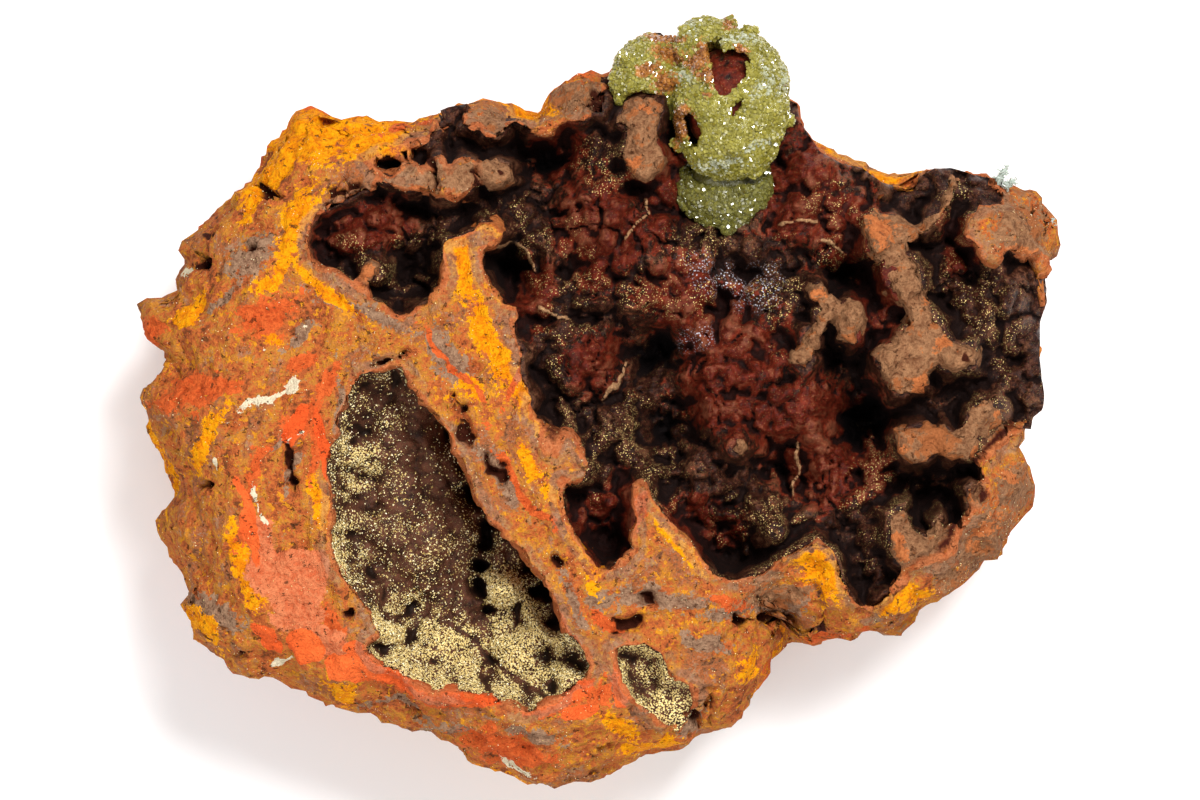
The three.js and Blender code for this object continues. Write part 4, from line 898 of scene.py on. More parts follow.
def limonite_block():
    """The block: the solid's form with finer faces where it is seen, layers, pits and islands."""
    mesh = remeshed("limonite_block", BLOCK_VOXEL, smoothing=2)
    places = places_of(mesh)
    follow_outline(places)
    # floors sink, so that the linings' deepest holes stay above them
    inside = open_distance(places[:, :2])
    deep = (places[:, 2] < face_height(places[:, :2]) - 4.5) & (places[:, 2] > 8) & (inside > 0.6)
    deep &= signed_distance(places[:, :2], block_outline) > FLOOR_KEPT
    places[deep, 2] = np.maximum(places[deep, 2] - FLOOR_SINKING, LOWEST - 0.4)
    move_to(mesh, places)

    bm = bmesh.new()
    bm.from_mesh(mesh)
    shown = [
        face
        for face in bm.faces
        if face.normal.z > 0.25 and inside[face.verts[0].index] < 0.8 and face.verts[0].co.z > 15
    ]
    edges = list({edge for face in shown for edge in face.edges})
    bmesh.ops.subdivide_edges(bm, edges=edges, cuts=2, use_grid_fill=True)
    bm.to_mesh(mesh)
    bm.free()

    places = places_of(mesh)
    sharpen_walls(places, normals_of(mesh))
    # gaps too narrow for the even faces
    opened = open_distance(places[:, :2]) * (patches(places[:, :2], NARROW_GAPS) > 0)
    opened *= places[:, 2] > face_height(places[:, :2]) - 3
    places[:, 2] -= 5 * np.clip((opened - 0.1) / 0.5, 0, 1)
    move_to(mesh, places)
    normals = normals_of(mesh)
    plan = places[:, :2].copy()
    rim = -hollow_distance(plan)
    layer = rim + 1.6 * noise(plan, 7, 12) + 0.5 * noise(plan, 2, 13)
    band = layered(np.column_stack([layer]), 1.3, 2, 14)
    below = np.clip((face_height(plan) - places[:, 2] - 5) / 5, 0, 1)
    ragged = 0.9 * layered(plan, 0.9, 2, 72)
    hollowed = np.clip(2 * patches(wavering(plan, 1.5, 0.35, 71), HOLES) - 0.8 + ragged, 0, 1)
    hollowed *= (patches(plan, HOLES) > 0.1) * (1 - below)
    rough = 0.5 * layered(places, 5.0, 3, 11) + 0.42 * layered(places, 1.7, 3, 21)
    rough += 0.2 * layered(places, 0.8, 2, 25)
    rough -= 0.9 * np.clip(noise(places, 2.4, 31) - 0.4, 0, 1)
    rough -= 0.8 * np.clip(noise(places, 1.2, 32) - 0.45, 0, 1)
    rough += 0.22 * band * np.exp(-np.maximum(rim, 0) / 6) * (normals[:, 2] > 0.3)
    rough -= 2.0 * hollowed * (normals[:, 2] > 0.2) * (rim > -0.3)
    off_foot = np.clip((places[:, 2] - 0.8) / 2, 0, 1)
    places += normals * (rough * off_foot)[:, None]
    island = island_distance(plan)
    on_island = (island > -0.3) & (rim < 0) & (places[:, 2] > 15)
    knobbly = 0.75 * layered(plan, 2.2, 3, 33) + 0.35 * beads(plan, 1.3, 34)
    places[:, 2] += on_island * (knobbly - 1.1 * np.clip(1 - island / 1.2, 0, 1) ** 2)
    plan_shift = wavering(plan, 1.6, 0.35, 35) - plan
    places[:, :2] += plan_shift * (np.abs(island) < 0.8)[:, None] * on_island[:, None]
    move_to(mesh, places)

    uneven = wavering(plan, 4.0, 0.9, 75)
    above_base = np.clip((places[:, 2] - 10) / 3, 0, 1)
    dusted = 0.25 + 0.75 * (layered(plan, 3, 2, 77) > 0.2)

    def spread(spots, share=0.0, seed=0):
        on_side = np.clip(share + 0.9 * layered(places, 9, 2, seed), 0, 1) if share else 0
        return patches(uneven, spots) * (1 - below) + on_side * below

    give(
        mesh,
        rim=rim,
        indoors=np.clip(signed_distance(plan, block_outline) - 1.5, 0, 1) * above_base,
        island=island,
        layer=layer,
        pit=hollowed,
        yellow=spread(YELLOW_OCHRE, 0.34, 202),
        red=spread(RED_ORANGE, 0.30, 203),
        salmon=spread(SALMON),
        grey=spread(GREY_BROWN, 0.30, 204),
        tan=np.maximum(spread(TAN), on_island * 0.85),
        ember=0.8 * spread(EMBERS),
        plate=patches(wavering(plan, 2.5, 0.5, 79), PLATES) * (1 - below),
        white=spread(WHITE),
        dust=(normals[:, 2] > 0) * np.clip(1.4 + 0.5 * rim, 0, 1) * dusted,
    )
    return finished("limonite_rock", mesh, "limonite_block", limonite_finish())


# Linings


def blur(field, width):
    """A field of heights evened out over that many cells each way."""
    steps = np.arange(-3 * width, 3 * width + 1)
    weights = np.exp(-0.5 * (steps / width) ** 2)
    weights /= weights.sum()
    padded = np.pad(field, 3 * width, mode="edge")
    rows = np.apply_along_axis(np.convolve, 1, padded, weights, "valid")
    return np.apply_along_axis(np.convolve, 0, rows, weights, "valid")


def thin_walls(plan, width):
    """1 on the thin broken walls that stand on the dark crust."""
    return ridges(wavering(plan, 1.2, 0.3, 58), THIN_WALLS, width)


def cracks(plan, width):
    """1 in the cracks between the mounds of the lower hollow."""
    return ridges(wavering(plan, 1.5, 0.25, 95), CRACKS, width)


def lining(name, node, finish, outline, surface, dust_at, rim_drop, climb_width, spacing):
    """A hollow's crust: a lumpy surface that climbs its walls, closed underneath."""
    low, high = outline.min(axis=0) - 1, outline.max(axis=0) + 1
    cells = np.ceil((high - low) / spacing).astype(int)
    bm = bmesh.new()
    bmesh.ops.create_grid(bm, x_segments=int(cells[0]), y_segments=int(cells[1]), size=0.5)
    bmesh.ops.scale(bm, vec=(*(cells * spacing), 1), verts=bm.verts)
    bmesh.ops.translate(bm, vec=(*(low + cells * spacing / 2), 0), verts=bm.verts)
    plan = np.array([v.co[:2] for v in bm.verts])
    heights = surface(plan)
    inside = signed_distance(plan, outline)
    wall = np.minimum(inside, -island_distance(plan)) + 0.25 * layered(plan, 1.4, 2, 5)
    climb = np.clip(1 - wall / climb_width, 0, 1) ** 1.6
    climb *= 1 - np.clip(2.5 * patches(plan, UNDERCUTS), 0, 1)
    heights += climb * np.maximum(face_height(plan) - rim_drop - heights, 0)
    heights = np.maximum(heights, LOWEST)
    grid = heights.reshape(cells[1] + 1, cells[0] + 1)
    # How far each point lies down a crevice, up on a crest and deep below the face: the finishes paint
    # shade in crevices and deep places and a highlight on crests
    crevice = np.clip((blur(grid, 4) - grid) / 0.9 + 0.05, 0, 1).ravel()
    crest = np.clip((grid - blur(grid, 3)) / 0.25, 0, 1).ravel()
    deep = np.clip((face_height(plan) - heights - 11) / 7, 0, 1)
    dust = dust_at(plan) * (1 - crevice) * (1 - deep)
    stored = {
        "crevice": crevice,
        "crest": crest,
        "deep": deep,
        "dust": dust,
        "maroon": patches(wavering(plan, 4, 1.2, 15), MAROON),
        "silver": patches(wavering(plan, 2, 0.5, 59), PAINTED_CRUST_GLINTS),
        "thin_wall": thin_walls(plan, 0.16),
    }
    layers = [bm.verts.layers.float.new(key) for key in stored]
    for vertex, height, *numbers in zip(bm.verts, heights, *stored.values()):
        vertex.co.z = height
        for layer, number in zip(layers, numbers):
            vertex[layer] = number
    kept = (inside > -TUCK) & (signed_distance(plan, block_outline) > 0.1)
    bmesh.ops.delete(bm, geom=[v for v, keep in zip(bm.verts, kept) if not keep], context="VERTS")
    loose = [v for v in bm.verts if not v.link_faces]
    bmesh.ops.delete(bm, geom=loose, context="VERTS")
    edging = [v for v in bm.verts if v.is_boundary]
    spots = np.array([v.co[:2] for v in edging])
    rooms = signed_distance(spots, block_outline)
    inward = uphill(spots, lambda p: signed_distance(p, block_outline))
    for vertex, room, way in zip(edging, rooms, inward):
        if room < EDGE_SNAP:
            vertex.co.xy += Vector(way) * (EDGE_INSET - room)
    # a skirt of two steps, which stays inside the block, and the sole
    for underside in (False, True):
        edge = [e for e in bm.edges if e.is_boundary]
        skirt = bmesh.ops.extrude_edge_only(bm, edges=edge)["geom"]
        ring = [item for item in skirt if isinstance(item, bmesh.types.BMVert)]
        spots = np.array([v.co[:2] for v in ring])
        rooms = signed_distance(spots, block_outline)
        middle = Vector(spots.mean(axis=0))
        for vertex, room in zip(ring, rooms):
            if underside:
                vertex.co.xy = middle.lerp(vertex.co.xy, SOLE_SHARE)
                vertex.co.z = SOLE
            elif room < SIDE_ROOM:
                vertex.co.z = max(vertex.co.z - EDGE_THICKNESS, LOWEST - 0.3)
            elif room < ROCK_ROOM:
                vertex.co.z = min(vertex.co.z - 0.5, WIDEST)
            else:
                vertex.co.z = LOWEST - 0.3
    bmesh.ops.holes_fill(bm, edges=[e for e in bm.edges if e.is_boundary], sides=0)
    bmesh.ops.recalc_face_normals(bm, faces=bm.faces)
    return finished(name, bm, node, finish)


def crust_finish():
    """Dark red-brown iron oxide dusted with gold, with painted black shade in its crevices and deep places,
    a painted highlight on some crests and painted silvery glints.
    """
    skin = Finish("iron oxide crust", Specular_IOR_Level=0.11)
    fine, grain, broad = skin.noise(0.9, 4, 0.65), skin.noise(0.2, 2, 0.6), skin.noise(5, 4, 0.6)
    uneven = 1.4 * (fine - 0.5) + 0.8 * (broad - 0.5)
    red = skin.ramp(
        0.6 * fine + 0.4 * broad,
        [(0.38, (0.030, 0.004, 0.002)), (0.5, (0.090, 0.010, 0.004)), (0.62, (0.17, 0.021, 0.008))],
    )
    brown = skin.ramp(
        0.6 * fine + 0.4 * grain,
        [(0.38, (0.008, 0.003, 0.002)), (0.5, (0.032, 0.009, 0.005)), (0.62, (0.085, 0.028, 0.014))],
    )
    colour = skin.blend((skin.stored("maroon") + uneven).step(0.28, 0.42), brown, red)
    # Painted highlight: lighter brown on some crests
    painted_crest_highlight = (skin.stored("crest") + 1.2 * (grain - 0.5)) * (broad + 0.5 * fine).step(0.76, 0.84)
    colour = skin.blend(painted_crest_highlight * 0.35, colour, (0.20, 0.085, 0.042))
    thin = (skin.stored("thin_wall") + 0.8 * (fine - 0.5)).step(0.35, 0.6)
    colour = skin.blend(thin, colour, skin.blend(grain, (0.22, 0.10, 0.05), (0.50, 0.28, 0.13)))
    # Painted shade: near-black in crevices, and in places deep below the face
    shade = skin.stored("crevice").step(0.2, 0.8)
    colour = skin.blend(shade * 0.92, colour, (0.006, 0.002, 0.0015))
    colour = skin.blend(skin.stored("deep").step(0.0, 0.6), colour, (0.003, 0.001, 0.001))
    bed = (skin.stored("dust") + 0.7 * uneven).step(0.35, 0.9)
    speck = (skin.specks(0.24) - 0.1 * bed).step(0.20, 0.10) * (0.25 + 0.75 * bed)
    colour = skin.blend(speck * (1 - shade), colour, (0.74, 0.55, 0.20))
    # Painted highlight: silvery glints in a few spots
    painted_glints = skin.specks(0.3).step(0.34, 0.2) * skin.stored("silver").step(0.1, 0.6)
    colour = skin.blend(painted_glints * (1 - shade), colour, (0.50, 0.50, 0.56))
    colour = skin.dim(colour, 0.6 + 0.8 * grain)
    gloss = 0.25 + 0.45 * fine + 0.3 * shade
    return skin.use(Base_Color=colour, Roughness=gloss, Normal=skin.bump(0.8 * fine + 0.2 * grain, 0.4))


def druse_finish():
    """Dark brown druse thick with gold crystals, with painted near-black shade in its crevices and deep
    places.
    """
    skin = Finish("gold druse", Specular_IOR_Level=0.15)
    fine, grain = skin.noise(1.3, 4, 0.65), skin.noise(0.22, 2, 0.6)
    brown = skin.ramp(fine, [(0.35, (0.022, 0.008, 0.005)), (0.65, (0.12, 0.042, 0.022))])
    cover = (skin.stored("dust") + 0.5 * (fine - 0.5)).step(0.1, 0.95)
    speck = (skin.specks(0.22) - 0.3 * cover).step(0.30, 0.16)
    gold = skin.blend(grain.step(0.3, 0.7), (0.60, 0.43, 0.14), (0.98, 0.80, 0.36))
    # Painted shade: near-black in crevices, and in places deep below the face
    shade = skin.stored("crevice").step(0.5, 1.05)
    colour = skin.blend(speck * (0.15 + 0.85 * cover) * (1 - shade), brown, gold)
    colour = skin.blend(shade * 0.9, colour, (0.008, 0.004, 0.002))
    colour = skin.blend(skin.stored("deep") * 0.8, colour, (0.006, 0.003, 0.002))
    relief = 0.5 * grain + 0.5 * speck
    return skin.use(Base_Color=colour, Roughness=0.5 + 0.3 * fine, Normal=skin.bump(relief, 0.2))


def upper_surface(plan):
    """Height of the dark crust: lumps in three sizes, clefts, holes and thin walls."""
    floor = UPPER_FLOOR - FLOOR_DOME * dome(plan) - humps(plan, UPPER_DIPS) + humps(plan, UPPER_SWELLS)
    warped = wavering(wavering(plan, 2.6, 0.7, 41), 1.0, 0.28, 44)
    surface = floor + LINING + domes(warped, UPPER_LUMPS) + humps(plan, UPPER_RISES)
    surface -= 0.75 * humps(wavering(wavering(plan, 3.2, 1.5, 45), 1.1, 0.5, 46), UPPER_HOLES)
    cleft = np.clip(1 - crease(wavering(plan, 1.8, 0.8, 57), 4.0, 55) / 0.5, 0, 1)
    cleft *= np.clip(noise(plan, 6, 56) + 0.25, 0, 1)
    surface += 1.1 * beads(warped, 2.1, 60) + 0.75 * beads(warped, 1.1, 70) + 0.45 * beads(plan, 0.65, 80)
    surface += 0.6 * layered(plan, 3.2, 3, 90) - 1.3 * cleft
    near_side = np.clip(1.6 - signed_distance(plan, block_outline) / 3, 0, 1)
    surface += near_side * np.maximum(floor + LINING - surface, 0)
    return surface + 1.1 * thin_walls(plan, 0.17)


def lower_surface(plan):
    """Height of the lower druse: smooth mounds with holes along the septum."""
    warped = wavering(plan, 3.0, 0.6, 42)
    surface = LOWER_FLOOR + 4.6 - FLOOR_DOME * dome(plan) + humps(warped, LOWER_MOUNDS)
    surface -= humps(wavering(plan, 2.2, 0.45, 43), LOWER_HOLES)
    surface += 0.45 * beads(warped, 3.6, 61) + 0.3 * beads(warped, 1.5, 65) + 0.2 * beads(warped, 0.8, 71)
    return surface + 0.5 * layered(plan, 3.4, 3, 91) - 0.3 * cracks(plan, 0.2)


def small_surface(plan):
    """Height of the small druse."""
    floor = SMALL_FLOOR - FLOOR_DOME * dome(plan)
    surface = floor + LINING + 2.6 + 0.4 * domes(plan, SMALL_LUMPS)
    return surface + 0.4 * beads(plan, 1.2, 62) + 0.2 * beads(plan, 0.5, 72)


def upper_dust(plan):
    """How thick the gold lies on the dark crust."""
    cover = patches(wavering(plan, 2.4, 1.2, 16), GOLD_DUST) + 0.35 * layered(plan, 1.8, 3, 17)
    return np.clip(0.17 + 1.3 * np.clip(cover - 0.15, 0, 1), 0.15, 1)


def lower_dust(plan):
    """How thick the gold lies in the lower hollow."""
    warped = wavering(plan, 2.4, 0.8, 19)
    thick = np.clip(2.2 * patches(warped, THICK_DUST) - 0.6, 0, 1)
    thin = np.clip(2.2 * patches(warped, THIN_DUST) - 0.6, 0, 1)
    cover = 0.33 + 0.16 * layered(plan, 1.8, 3, 20) + 0.85 * thick - 0.32 * thin
    return np.clip(cover, 0.03, 1) * (1 - 0.9 * cracks(plan, 0.25))


def small_dust(plan):
    """How thick the gold lies in the small hollow."""
    return np.ones(len(plan))


# Grains


def crystal_copies(count, make):
    """That many copies of one small crystal in one mesh, each copy's vertices together."""
    mesh = bpy.data.meshes.new("crystals")
    bm = bmesh.new()
    make(bm)
    each = len(bm.verts)
    bm.to_mesh(mesh)
    bm.free()
    while len(mesh.vertices) < count * each:
        bm = bmesh.new()
        bm.from_mesh(mesh)
        bm.from_mesh(mesh)
        bm.to_mesh(mesh)
        bm.free()
    bm = bmesh.new()
    bm.from_mesh(mesh)
    bmesh.ops.delete(bm, geom=bm.verts[count * each :], context="VERTS")
    bm.to_mesh(mesh)
    bm.free()
    return mesh, each


def strewn(name, node, slot, finish, make, places, aims, sizes, rng, **values):
    """One piece of many small crystals, each turned to its own aim."""
    mesh, each = crystal_copies(len(places), make)
    aims = aims / np.linalg.norm(aims, axis=1, keepdims=True)
    side = np.cross(aims, rng.normal(size=aims.shape))
    side /= np.linalg.norm(side, axis=1, keepdims=True)
    turns = np.stack([side, np.cross(aims, side), aims], axis=2)
    shape = places_of(mesh).reshape(len(places), each, 3) * sizes[:, None, None]
    move_to(mesh, (np.einsum("nij,nkj->nki", turns, shape) + places[:, None, :]).reshape(-1, 3))
    give(mesh, tone=np.repeat(rng.random(len(places)), each))
    give(mesh, **{key: np.repeat(numbers, each) for key, numbers in values.items()})
    return finished(name, mesh, node, finish, smooth=False)


def spread_over(piece, count, key, rng, lying=False):
    """Places and normals of points spread over a piece, dense where its stored number is high.

    Points that lie on the piece are rare where it is steep.
    """
    mesh = piece.data
    mesh.calc_loop_triangles()
    corners = np.empty(len(mesh.loop_triangles) * 3, dtype=int)
    mesh.loop_triangles.foreach_get("vertices", corners)
    corners = corners.reshape(-1, 3)
    wanted = np.empty(len(mesh.vertices))
    mesh.attributes[key].data.foreach_get("value", wanted)
    a, b, c = places_of(mesh)[corners].transpose(1, 0, 2) / MM
    normal = np.cross(b - a, c - a)
    area = np.linalg.norm(normal, axis=1)
    normal /= np.maximum(area, 1e-12)[:, None]
    facing = np.clip(normal[:, 2], 0, 1) ** 1.5 if lying else normal[:, 2] > -0.2
    weight = area * wanted[corners].min(axis=1) * facing
    picked = rng.choice(len(area), size=count, p=weight / weight.sum())
    u, v = rng.random((2, count, 1))
    u, v = np.where(u + v > 1, 1 - u, u), np.where(u + v > 1, 1 - v, v)
    return a[picked] + u * (b - a)[picked] + v * (c - a)[picked], normal[picked]


def short_point(bm):
    """A three-sided point, one millimetre wide."""
    bmesh.ops.create_cone(bm, cap_ends=True, segments=3, radius1=0.55, radius2=0, depth=0.4)


def sugar_crystal(bm):
    """A stubby crystal with a blunt end, one millimetre long."""
    bmesh.ops.create_cone(bm, cap_ends=True, segments=5, radius1=0.42, radius2=0.24, depth=1.0)


def needle(bm):
    """A slender crystal, one millimetre long."""
    bmesh.ops.create_cone(bm, cap_ends=True, segments=5, radius1=0.13, radius2=0.05, depth=1.0)


def gold_finish():
    """Pale gold crystal faces, from brown gold to straw."""
    skin = Finish("gold grains", Specular_IOR_Level=0.7, Roughness=0.3)
    tones = [(0.0, (0.46, 0.30, 0.075)), (0.5, (0.88, 0.68, 0.26)), (1.0, (1.0, 0.92, 0.58))]
    return skin.use(Base_Color=skin.ramp(skin.stored("tone"), tones))


def sprinkle(piece, name, node, slot, finish, count, seed, smallest=0.12, largest=0.28, lying=False):
    """Gold grains over a piece, densest where it is dusted."""
    rng = np.random.default_rng(seed)
    points, aims = spread_over(piece, count, "dust", rng, lying)
    aims = aims + 0.5 * rng.normal(size=aims.shape)
    sizes = smallest + (largest - smallest) * rng.random(count) ** 2
    return strewn(name, node, slot, finish, short_point, points + 0.05 * aims, aims, sizes, rng)


# The austinite: balls as ((right, down, height), (radii))

MAIN_BALL = ((73.0, 10.5, 28.2), (6.0, 7.5, 6.6))
CREST = ((70.8, 4.9, 27.0), (3.6, 3.1, 4.4))
LEFT_BALL = ((64.8, 8.2, 25.4), (3.9, 4.7, 5.2))
LOWER_BALL = ((72.4, 19.0, 24.6), (5.4, 4.6, 4.6))
CRUST_WIDTH = 1.7  # of the green crust over its dark cores
LOWER_CRUST_WIDTH = 0.9
WINDOW_DEPTH = 4
WINDOW_LEVEL = 24  # the windows open only above it
BODY_CLEARNESS, POINT_CLEARNESS = 0.25, 0.5
# Rust stains on the balls
STAINS = [
    (70.2, 5.8, 1.0, 1.4, -30), (71.2, 8.2, 0.5, 0.9, 10), (74.2, 5.4, 0.9, 0.4, -20),
    (68.4, 13.0, 0.6, 1.8, -16), (70.8, 9.8, 0.5, 0.3, 0),
    (64.9, 7.2, 1.3, 0.7, 10), (66.8, 5.6, 1.8, 0.9, -10), (69.8, 6.4, 1.2, 0.9, 0),
    (70.6, 7.6, 0.9, 0.5, 0), (68.4, 12.0, 0.9, 1.2, 0), (66.4, 3.9, 2.0, 0.5, 0),
    (66.6, 8.4, 1.4, 1.0, 30), (72.6, 2.6, 0.6, 0.6, 0),
]
# Openings in the main ball over its dark core
WINDOWS = [
    [
        (71.85, 3.8), (70.6, 5.2), (70.8, 5.7), (71.2, 6.2), (71.0, 7.4), (71.5, 8.0), (71.4, 9.1),
        (71.9, 9.8), (72.7, 9.7), (73.5, 8.9), (73.4, 7.9), (74.0, 7.4), (74.2, 6.6), (75.0, 6.5),
        (74.5, 5.4), (73.5, 5.2), (72.9, 4.9), (72.3, 5.4), (72.0, 4.5),
    ],
    [(68.1, 11.3), (69.1, 11.5), (70.1, 13.5), (69.5, 15.0), (68.9, 15.1), (68.4, 13.9), (68.0, 12.3)],
    [(74.2, 10.1), (73.7, 11.2), (73.1, 11.9), (73.2, 11.0)],
]
# Spots where white glints are painted on the green crust and its points as highlights
PAINTED_BALL_GLINTS = [
    (68.4, 7.6, 1.1, 1.0, 0), (76.6, 8.4, 0.5, 1.6, 0), (72.4, 16.4, 2.4, 0.5, 0),
    (74.0, 4.4, 1.8, 0.5, 0), (65.8, 9.6, 0.7, 0.5, 0), (75.4, 14.6, 1.4, 0.4, 20),
    (69.2, 3.2, 0.7, 0.5, 0), (78.0, 8.6, 0.3, 1.6, 0), (75.4, 9.4, 0.3, 1.2, -20),
]


def ball_place(ball):
    """A ball's middle and radii in the frame."""
    (right, down, height), radii = ball
    return np.array([right - FRAME_CENTRE[0], FRAME_CENTRE[1] - down, height]), np.array(radii)


def austinite_finish(name, tint, shade, clearness, roughness, relief=0.15):
    """Sugary yellow-green crystal with light in it."""
    skin = Finish(name, IOR=1.75, Transmission_Weight=clearness, Roughness=roughness)
    fine, broad = skin.noise(0.45, 3, 0.65), skin.noise(2.4, 3, 0.6)
    tone = 0.35 * fine + 0.35 * broad + 0.3 * skin.stored("tone")
    colour = skin.blend(tone.step(0.34, 0.66), shade, tint)
    # Painted highlight: white glints in and round the glint spots, most on crystals of high tone
    frost = (skin.stored("frost") + 0.9 * (fine - 0.5) + 0.9 * (skin.stored("tone") - 0.6)).step(0.45, 0.75)
    colour = skin.blend(frost * 0.8, colour, (0.74, 0.78, 0.60))
    rust = skin.blend(fine.step(0.4, 0.6), (0.30, 0.09, 0.02), (0.66, 0.27, 0.05))
    stain = (skin.stored("stain") + 1.2 * (fine - 0.5)).step(0.42, 0.6)
    colour = skin.blend(stain, colour, rust)
    if not relief:
        return skin.use(Base_Color=colour)
    return skin.use(Base_Color=colour, Normal=skin.bump(skin.noise(0.3, 3, 0.7), relief))


def window_distance(plan):
    """Distance to the nearest window's outline, positive inside one."""
    uneven = wavering(plan, 0.9, 0.12, 107)
    return np.max([signed_distance(uneven, in_frame(outline)) for outline in WINDOWS], axis=0)


def spots_on(plan):
    """Where the green crust is stained and where white glints are painted on it."""
    uneven = wavering(plan, 1.5, 0.3, 106)
    return {"stain": patches(uneven, STAINS), "frost": patches(uneven, PAINTED_BALL_GLINTS)}


def austinite(node, body, points_finish, balls, count, seed):
    """A green crust over some balls, as a body and a coat of small crystals."""
    mesh = remeshed(node, voxel=0.22, smoothing=4)
    places, normals = places_of(mesh), normals_of(mesh)
    outward = np.zeros(len(places))
    for ball in balls:
        centre, radii = ball_place(ball)
        away = (places - centre) / radii
        out = (np.linalg.norm(away, axis=1) > 0.88) & (np.sum(normals * away / radii, axis=1) > 0)
        outward = np.maximum(outward, out)
    plan = places[:, :2].copy()
    swelling = 0.22 * layered(places, 1.8, 3, 101) + 0.1 * noise(places, 0.6, 105)
    places += normals * (outward * swelling)[:, None]
    window = window_distance(plan)
    places[(window > 0) & (places[:, 2] > WINDOW_LEVEL), 2] -= WINDOW_DEPTH
    outward *= (window < -0.12) | (places[:, 2] < WINDOW_LEVEL)
    move_to(mesh, places)
    give(mesh, outward=outward, tone=np.full(len(places), 0.3), **spots_on(plan))
    crust = finished(node.replace("_crust", "_skin"), mesh, node, body)
    rng = np.random.default_rng(seed)
    points, aims = spread_over(crust, count, "outward", rng)
    sizes = 0.38 + 0.5 * rng.random(count) ** 2
    points -= aims * 0.2 * sizes[:, None]
    aims = aims + 0.42 * rng.normal(size=aims.shape)
    strewn(
        node.replace("_crust", "_sugar"), node, "austinite", points_finish, sugar_crystal,
        points, aims, sizes, rng, **spots_on(points[:, :2]),
    )


def knob(name, ball, crust_width, node, finish):
    """A lumpy ball inside a crust of that width."""
    centre, radii = ball_place(ball)
    bm = bmesh.new()
    bmesh.ops.create_icosphere(bm, subdivisions=5, radius=1)
    bmesh.ops.scale(bm, vec=radii - crust_width, verts=bm.verts)
    bmesh.ops.translate(bm, vec=centre, verts=bm.verts)
    mesh = bpy.data.meshes.new(name)
    bm.to_mesh(mesh)
    bm.free()
    places = places_of(mesh)
    move_to(mesh, places + normals_of(mesh) * (0.25 * layered(places, 1.4, 3, 120))[:, None])
    give(mesh, maroon=np.full(len(places), 0.5), tone=np.full(len(places), 0.3))
    finished(name, mesh, node, finish)


def pale_tuft(node, finish, count, seed):
    """A tuft of slender pale crystals grown from one spot."""
    mesh = remeshed(node, voxel=0.12, smoothing=2)
    give(mesh, everywhere=np.ones(len(mesh.vertices)))
    root_name, tuft_name = node.replace("crystals", "root"), node.replace("crystals", "tuft")
    root = finished(root_name, mesh, node, finish)
    rng = np.random.default_rng(seed)
    points, aims = spread_over(root, count, "everywhere", rng)
    aims = aims + 0.6 * rng.normal(size=aims.shape)
    sizes = 0.4 + 0.7 * rng.random(count) ** 2
    strewn(tuft_name, node, "pale_austinite", finish, needle, points, aims, sizes, rng)


def pale_finish():
    """Near-colourless crystal with a green tinge."""
    skin = Finish("pale austinite", IOR=1.7, Transmission_Weight=0.4, Roughness=0.15)
    frost = skin.noise(0.5, 2, 0.5)
    return skin.use(Base_Color=skin.blend(frost, (0.46, 0.56, 0.46), (0.78, 0.84, 0.76)))


# Stage


def light(name, place, size, power):
    """A square lamp that shines on the object."""
    lamp = bpy.data.lights.new(name, "AREA")
    lamp.size = size
    lamp.energy = power
    holder = bpy.data.objects.new(name, lamp)
    bpy.context.scene.collection.objects.link(holder)
    holder.location = place
    holder.rotation_euler = (Vector((0, 0, 0.02)) - Vector(place)).to_track_quat("-Z", "Y").to_euler()


def stage():
    """A pale floor, a soft room, two lamps and the camera straight above."""
    bm = bmesh.new()
    bmesh.ops.create_grid(bm, x_segments=1, y_segments=1, size=3)
    floor_mesh = bpy.data.meshes.new("floor")
    bm.to_mesh(floor_mesh)
    bm.free()
    floor = bpy.data.objects.new("floor", floor_mesh)
    bpy.context.scene.collection.objects.link(floor)
    paper = Finish("pale paper", Roughness=0.9, Specular_IOR_Level=0.1)
    floor_mesh.materials.append(paper.use(Base_Color=(0.93, 0.93, 0.93, 1)))

    world = bpy.data.worlds.new("soft room")
    bpy.context.scene.world = world
    world.use_nodes = True
    world.node_tree.nodes["Background"].inputs["Color"].default_value = (1, 1, 1, 1)
    world.node_tree.nodes["Background"].inputs["Strength"].default_value = 0.46
    light("key", (0.22, 0.36, 0.83), 0.30, 10.6)
    light("fill", (-0.20, -0.52, 0.70), 0.7, 5.0)
    bpy.context.scene.view_settings.view_transform = "Standard"

    lens = bpy.data.cameras.new("camera")
    lens.sensor_width = 36
    face_level, distance = 0.026, 1.0
    lens.lens = 36 * distance / (PHOTO_SIZE[0] * MM)
    camera = bpy.data.objects.new("camera", lens)
    bpy.context.scene.collection.objects.link(camera)
    middle = in_frame([(PHOTO_SIZE[0] / 2, PHOTO_SIZE[1] / 2)])[0] * MM
    camera.location = (*middle, face_level + distance)
    bpy.context.scene.camera = camera


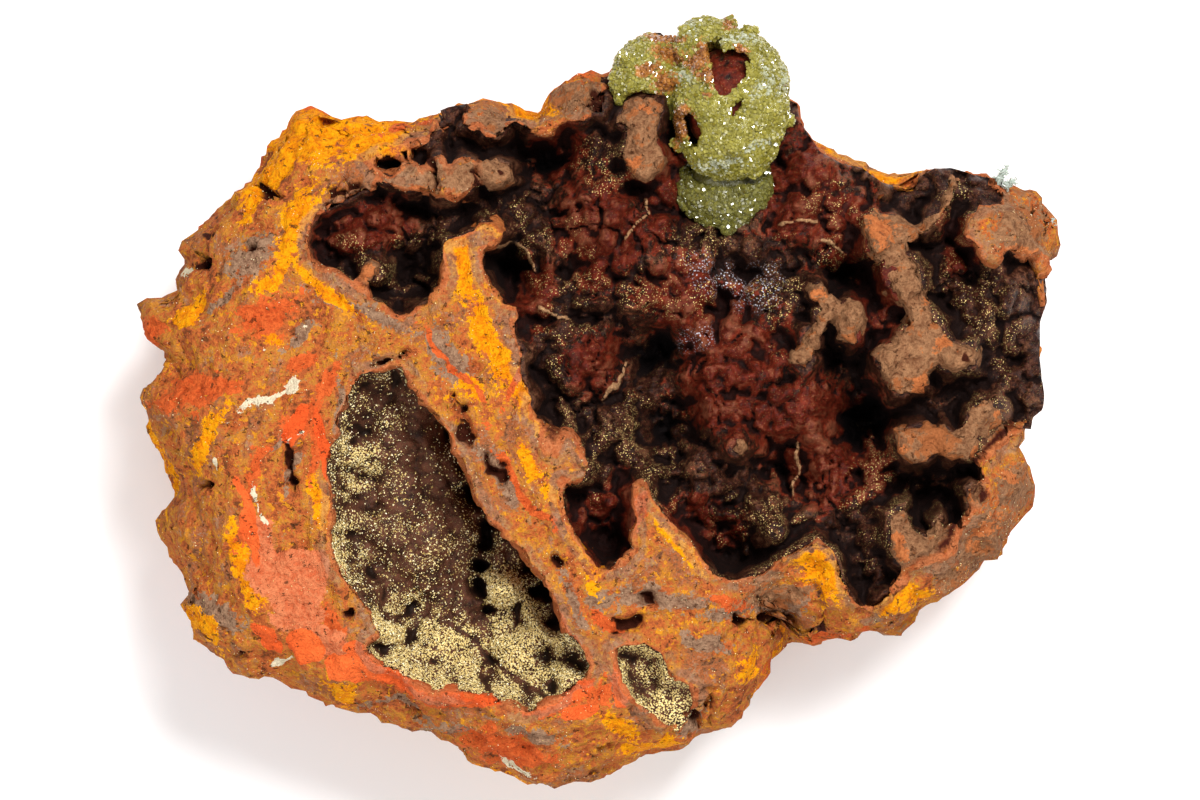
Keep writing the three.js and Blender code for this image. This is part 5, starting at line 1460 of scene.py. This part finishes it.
rock = limonite_block()
crust, druse, gold = crust_finish(), druse_finish(), gold_finish()
upper = lining(
    "dark_crust", "upper_hollow_lining", crust, upper_outline, upper_surface,
    upper_dust, rim_drop=1.4, climb_width=1.6, spacing=SPACING,
)
lower = lining(
    "gold_druse", "lower_hollow_lining", druse, lower_outline, lower_surface,
    lower_dust, rim_drop=1.2, climb_width=3.4, spacing=FINE_SPACING,
)
small = lining(
    "small_gold_druse", "small_hollow_lining", druse, small_outline, small_surface,
    small_dust, rim_drop=0.8, climb_width=1.6, spacing=FINE_SPACING,
)
sprinkle(rock, "limonite_grains", "limonite_block", "limonite", gold, 5000, 21, 0.07, 0.17)
sprinkle(upper, "upper_grains", "upper_hollow_lining", "goethite", gold, 36000, 22, 0.14, 0.34, lying=True)
sprinkle(lower, "lower_grains", "lower_hollow_lining", "gold_druse", gold, 46000, 23)
sprinkle(small, "small_grains", "small_hollow_lining", "gold_druse", gold, 4500, 24)
for core, ball in (("main_core", MAIN_BALL), ("left_core", LEFT_BALL)):
    knob(core, ball, CRUST_WIDTH, "upper_hollow_lining", crust)
green = austinite_finish(
    "austinite", (0.52, 0.455, 0.075), (0.29, 0.255, 0.03), BODY_CLEARNESS, 0.2,
)
green_points = austinite_finish(
    "austinite points", (0.60, 0.53, 0.10), (0.33, 0.29, 0.035), POINT_CLEARNESS, 0.05, 0,
)
# The lower ball's finishes are darker copies of the green ones: painted shade, for it lies in the main
# ball's shadow
dim = austinite_finish(
    "shaded austinite", (0.26, 0.235, 0.045), (0.115, 0.105, 0.014), BODY_CLEARNESS, 0.25,
)
painted_shade_points = austinite_finish(
    "shaded austinite points", (0.32, 0.295, 0.065), (0.15, 0.135, 0.02), POINT_CLEARNESS, 0.06, 0,
)
knob("lower_body", LOWER_BALL, LOWER_CRUST_WIDTH, "austinite_lower_crust", dim)
austinite("austinite_main_crust", green, green_points, (MAIN_BALL, CREST, LEFT_BALL), 10500, 31)
austinite("austinite_lower_crust", dim, painted_shade_points, (LOWER_BALL,), 2800, 32)
pale = pale_finish()
pale_tuft("pale_crystals_top", pale, 90, 41)
pale_tuft("pale_crystals_side", pale, 40, 42)
stage()
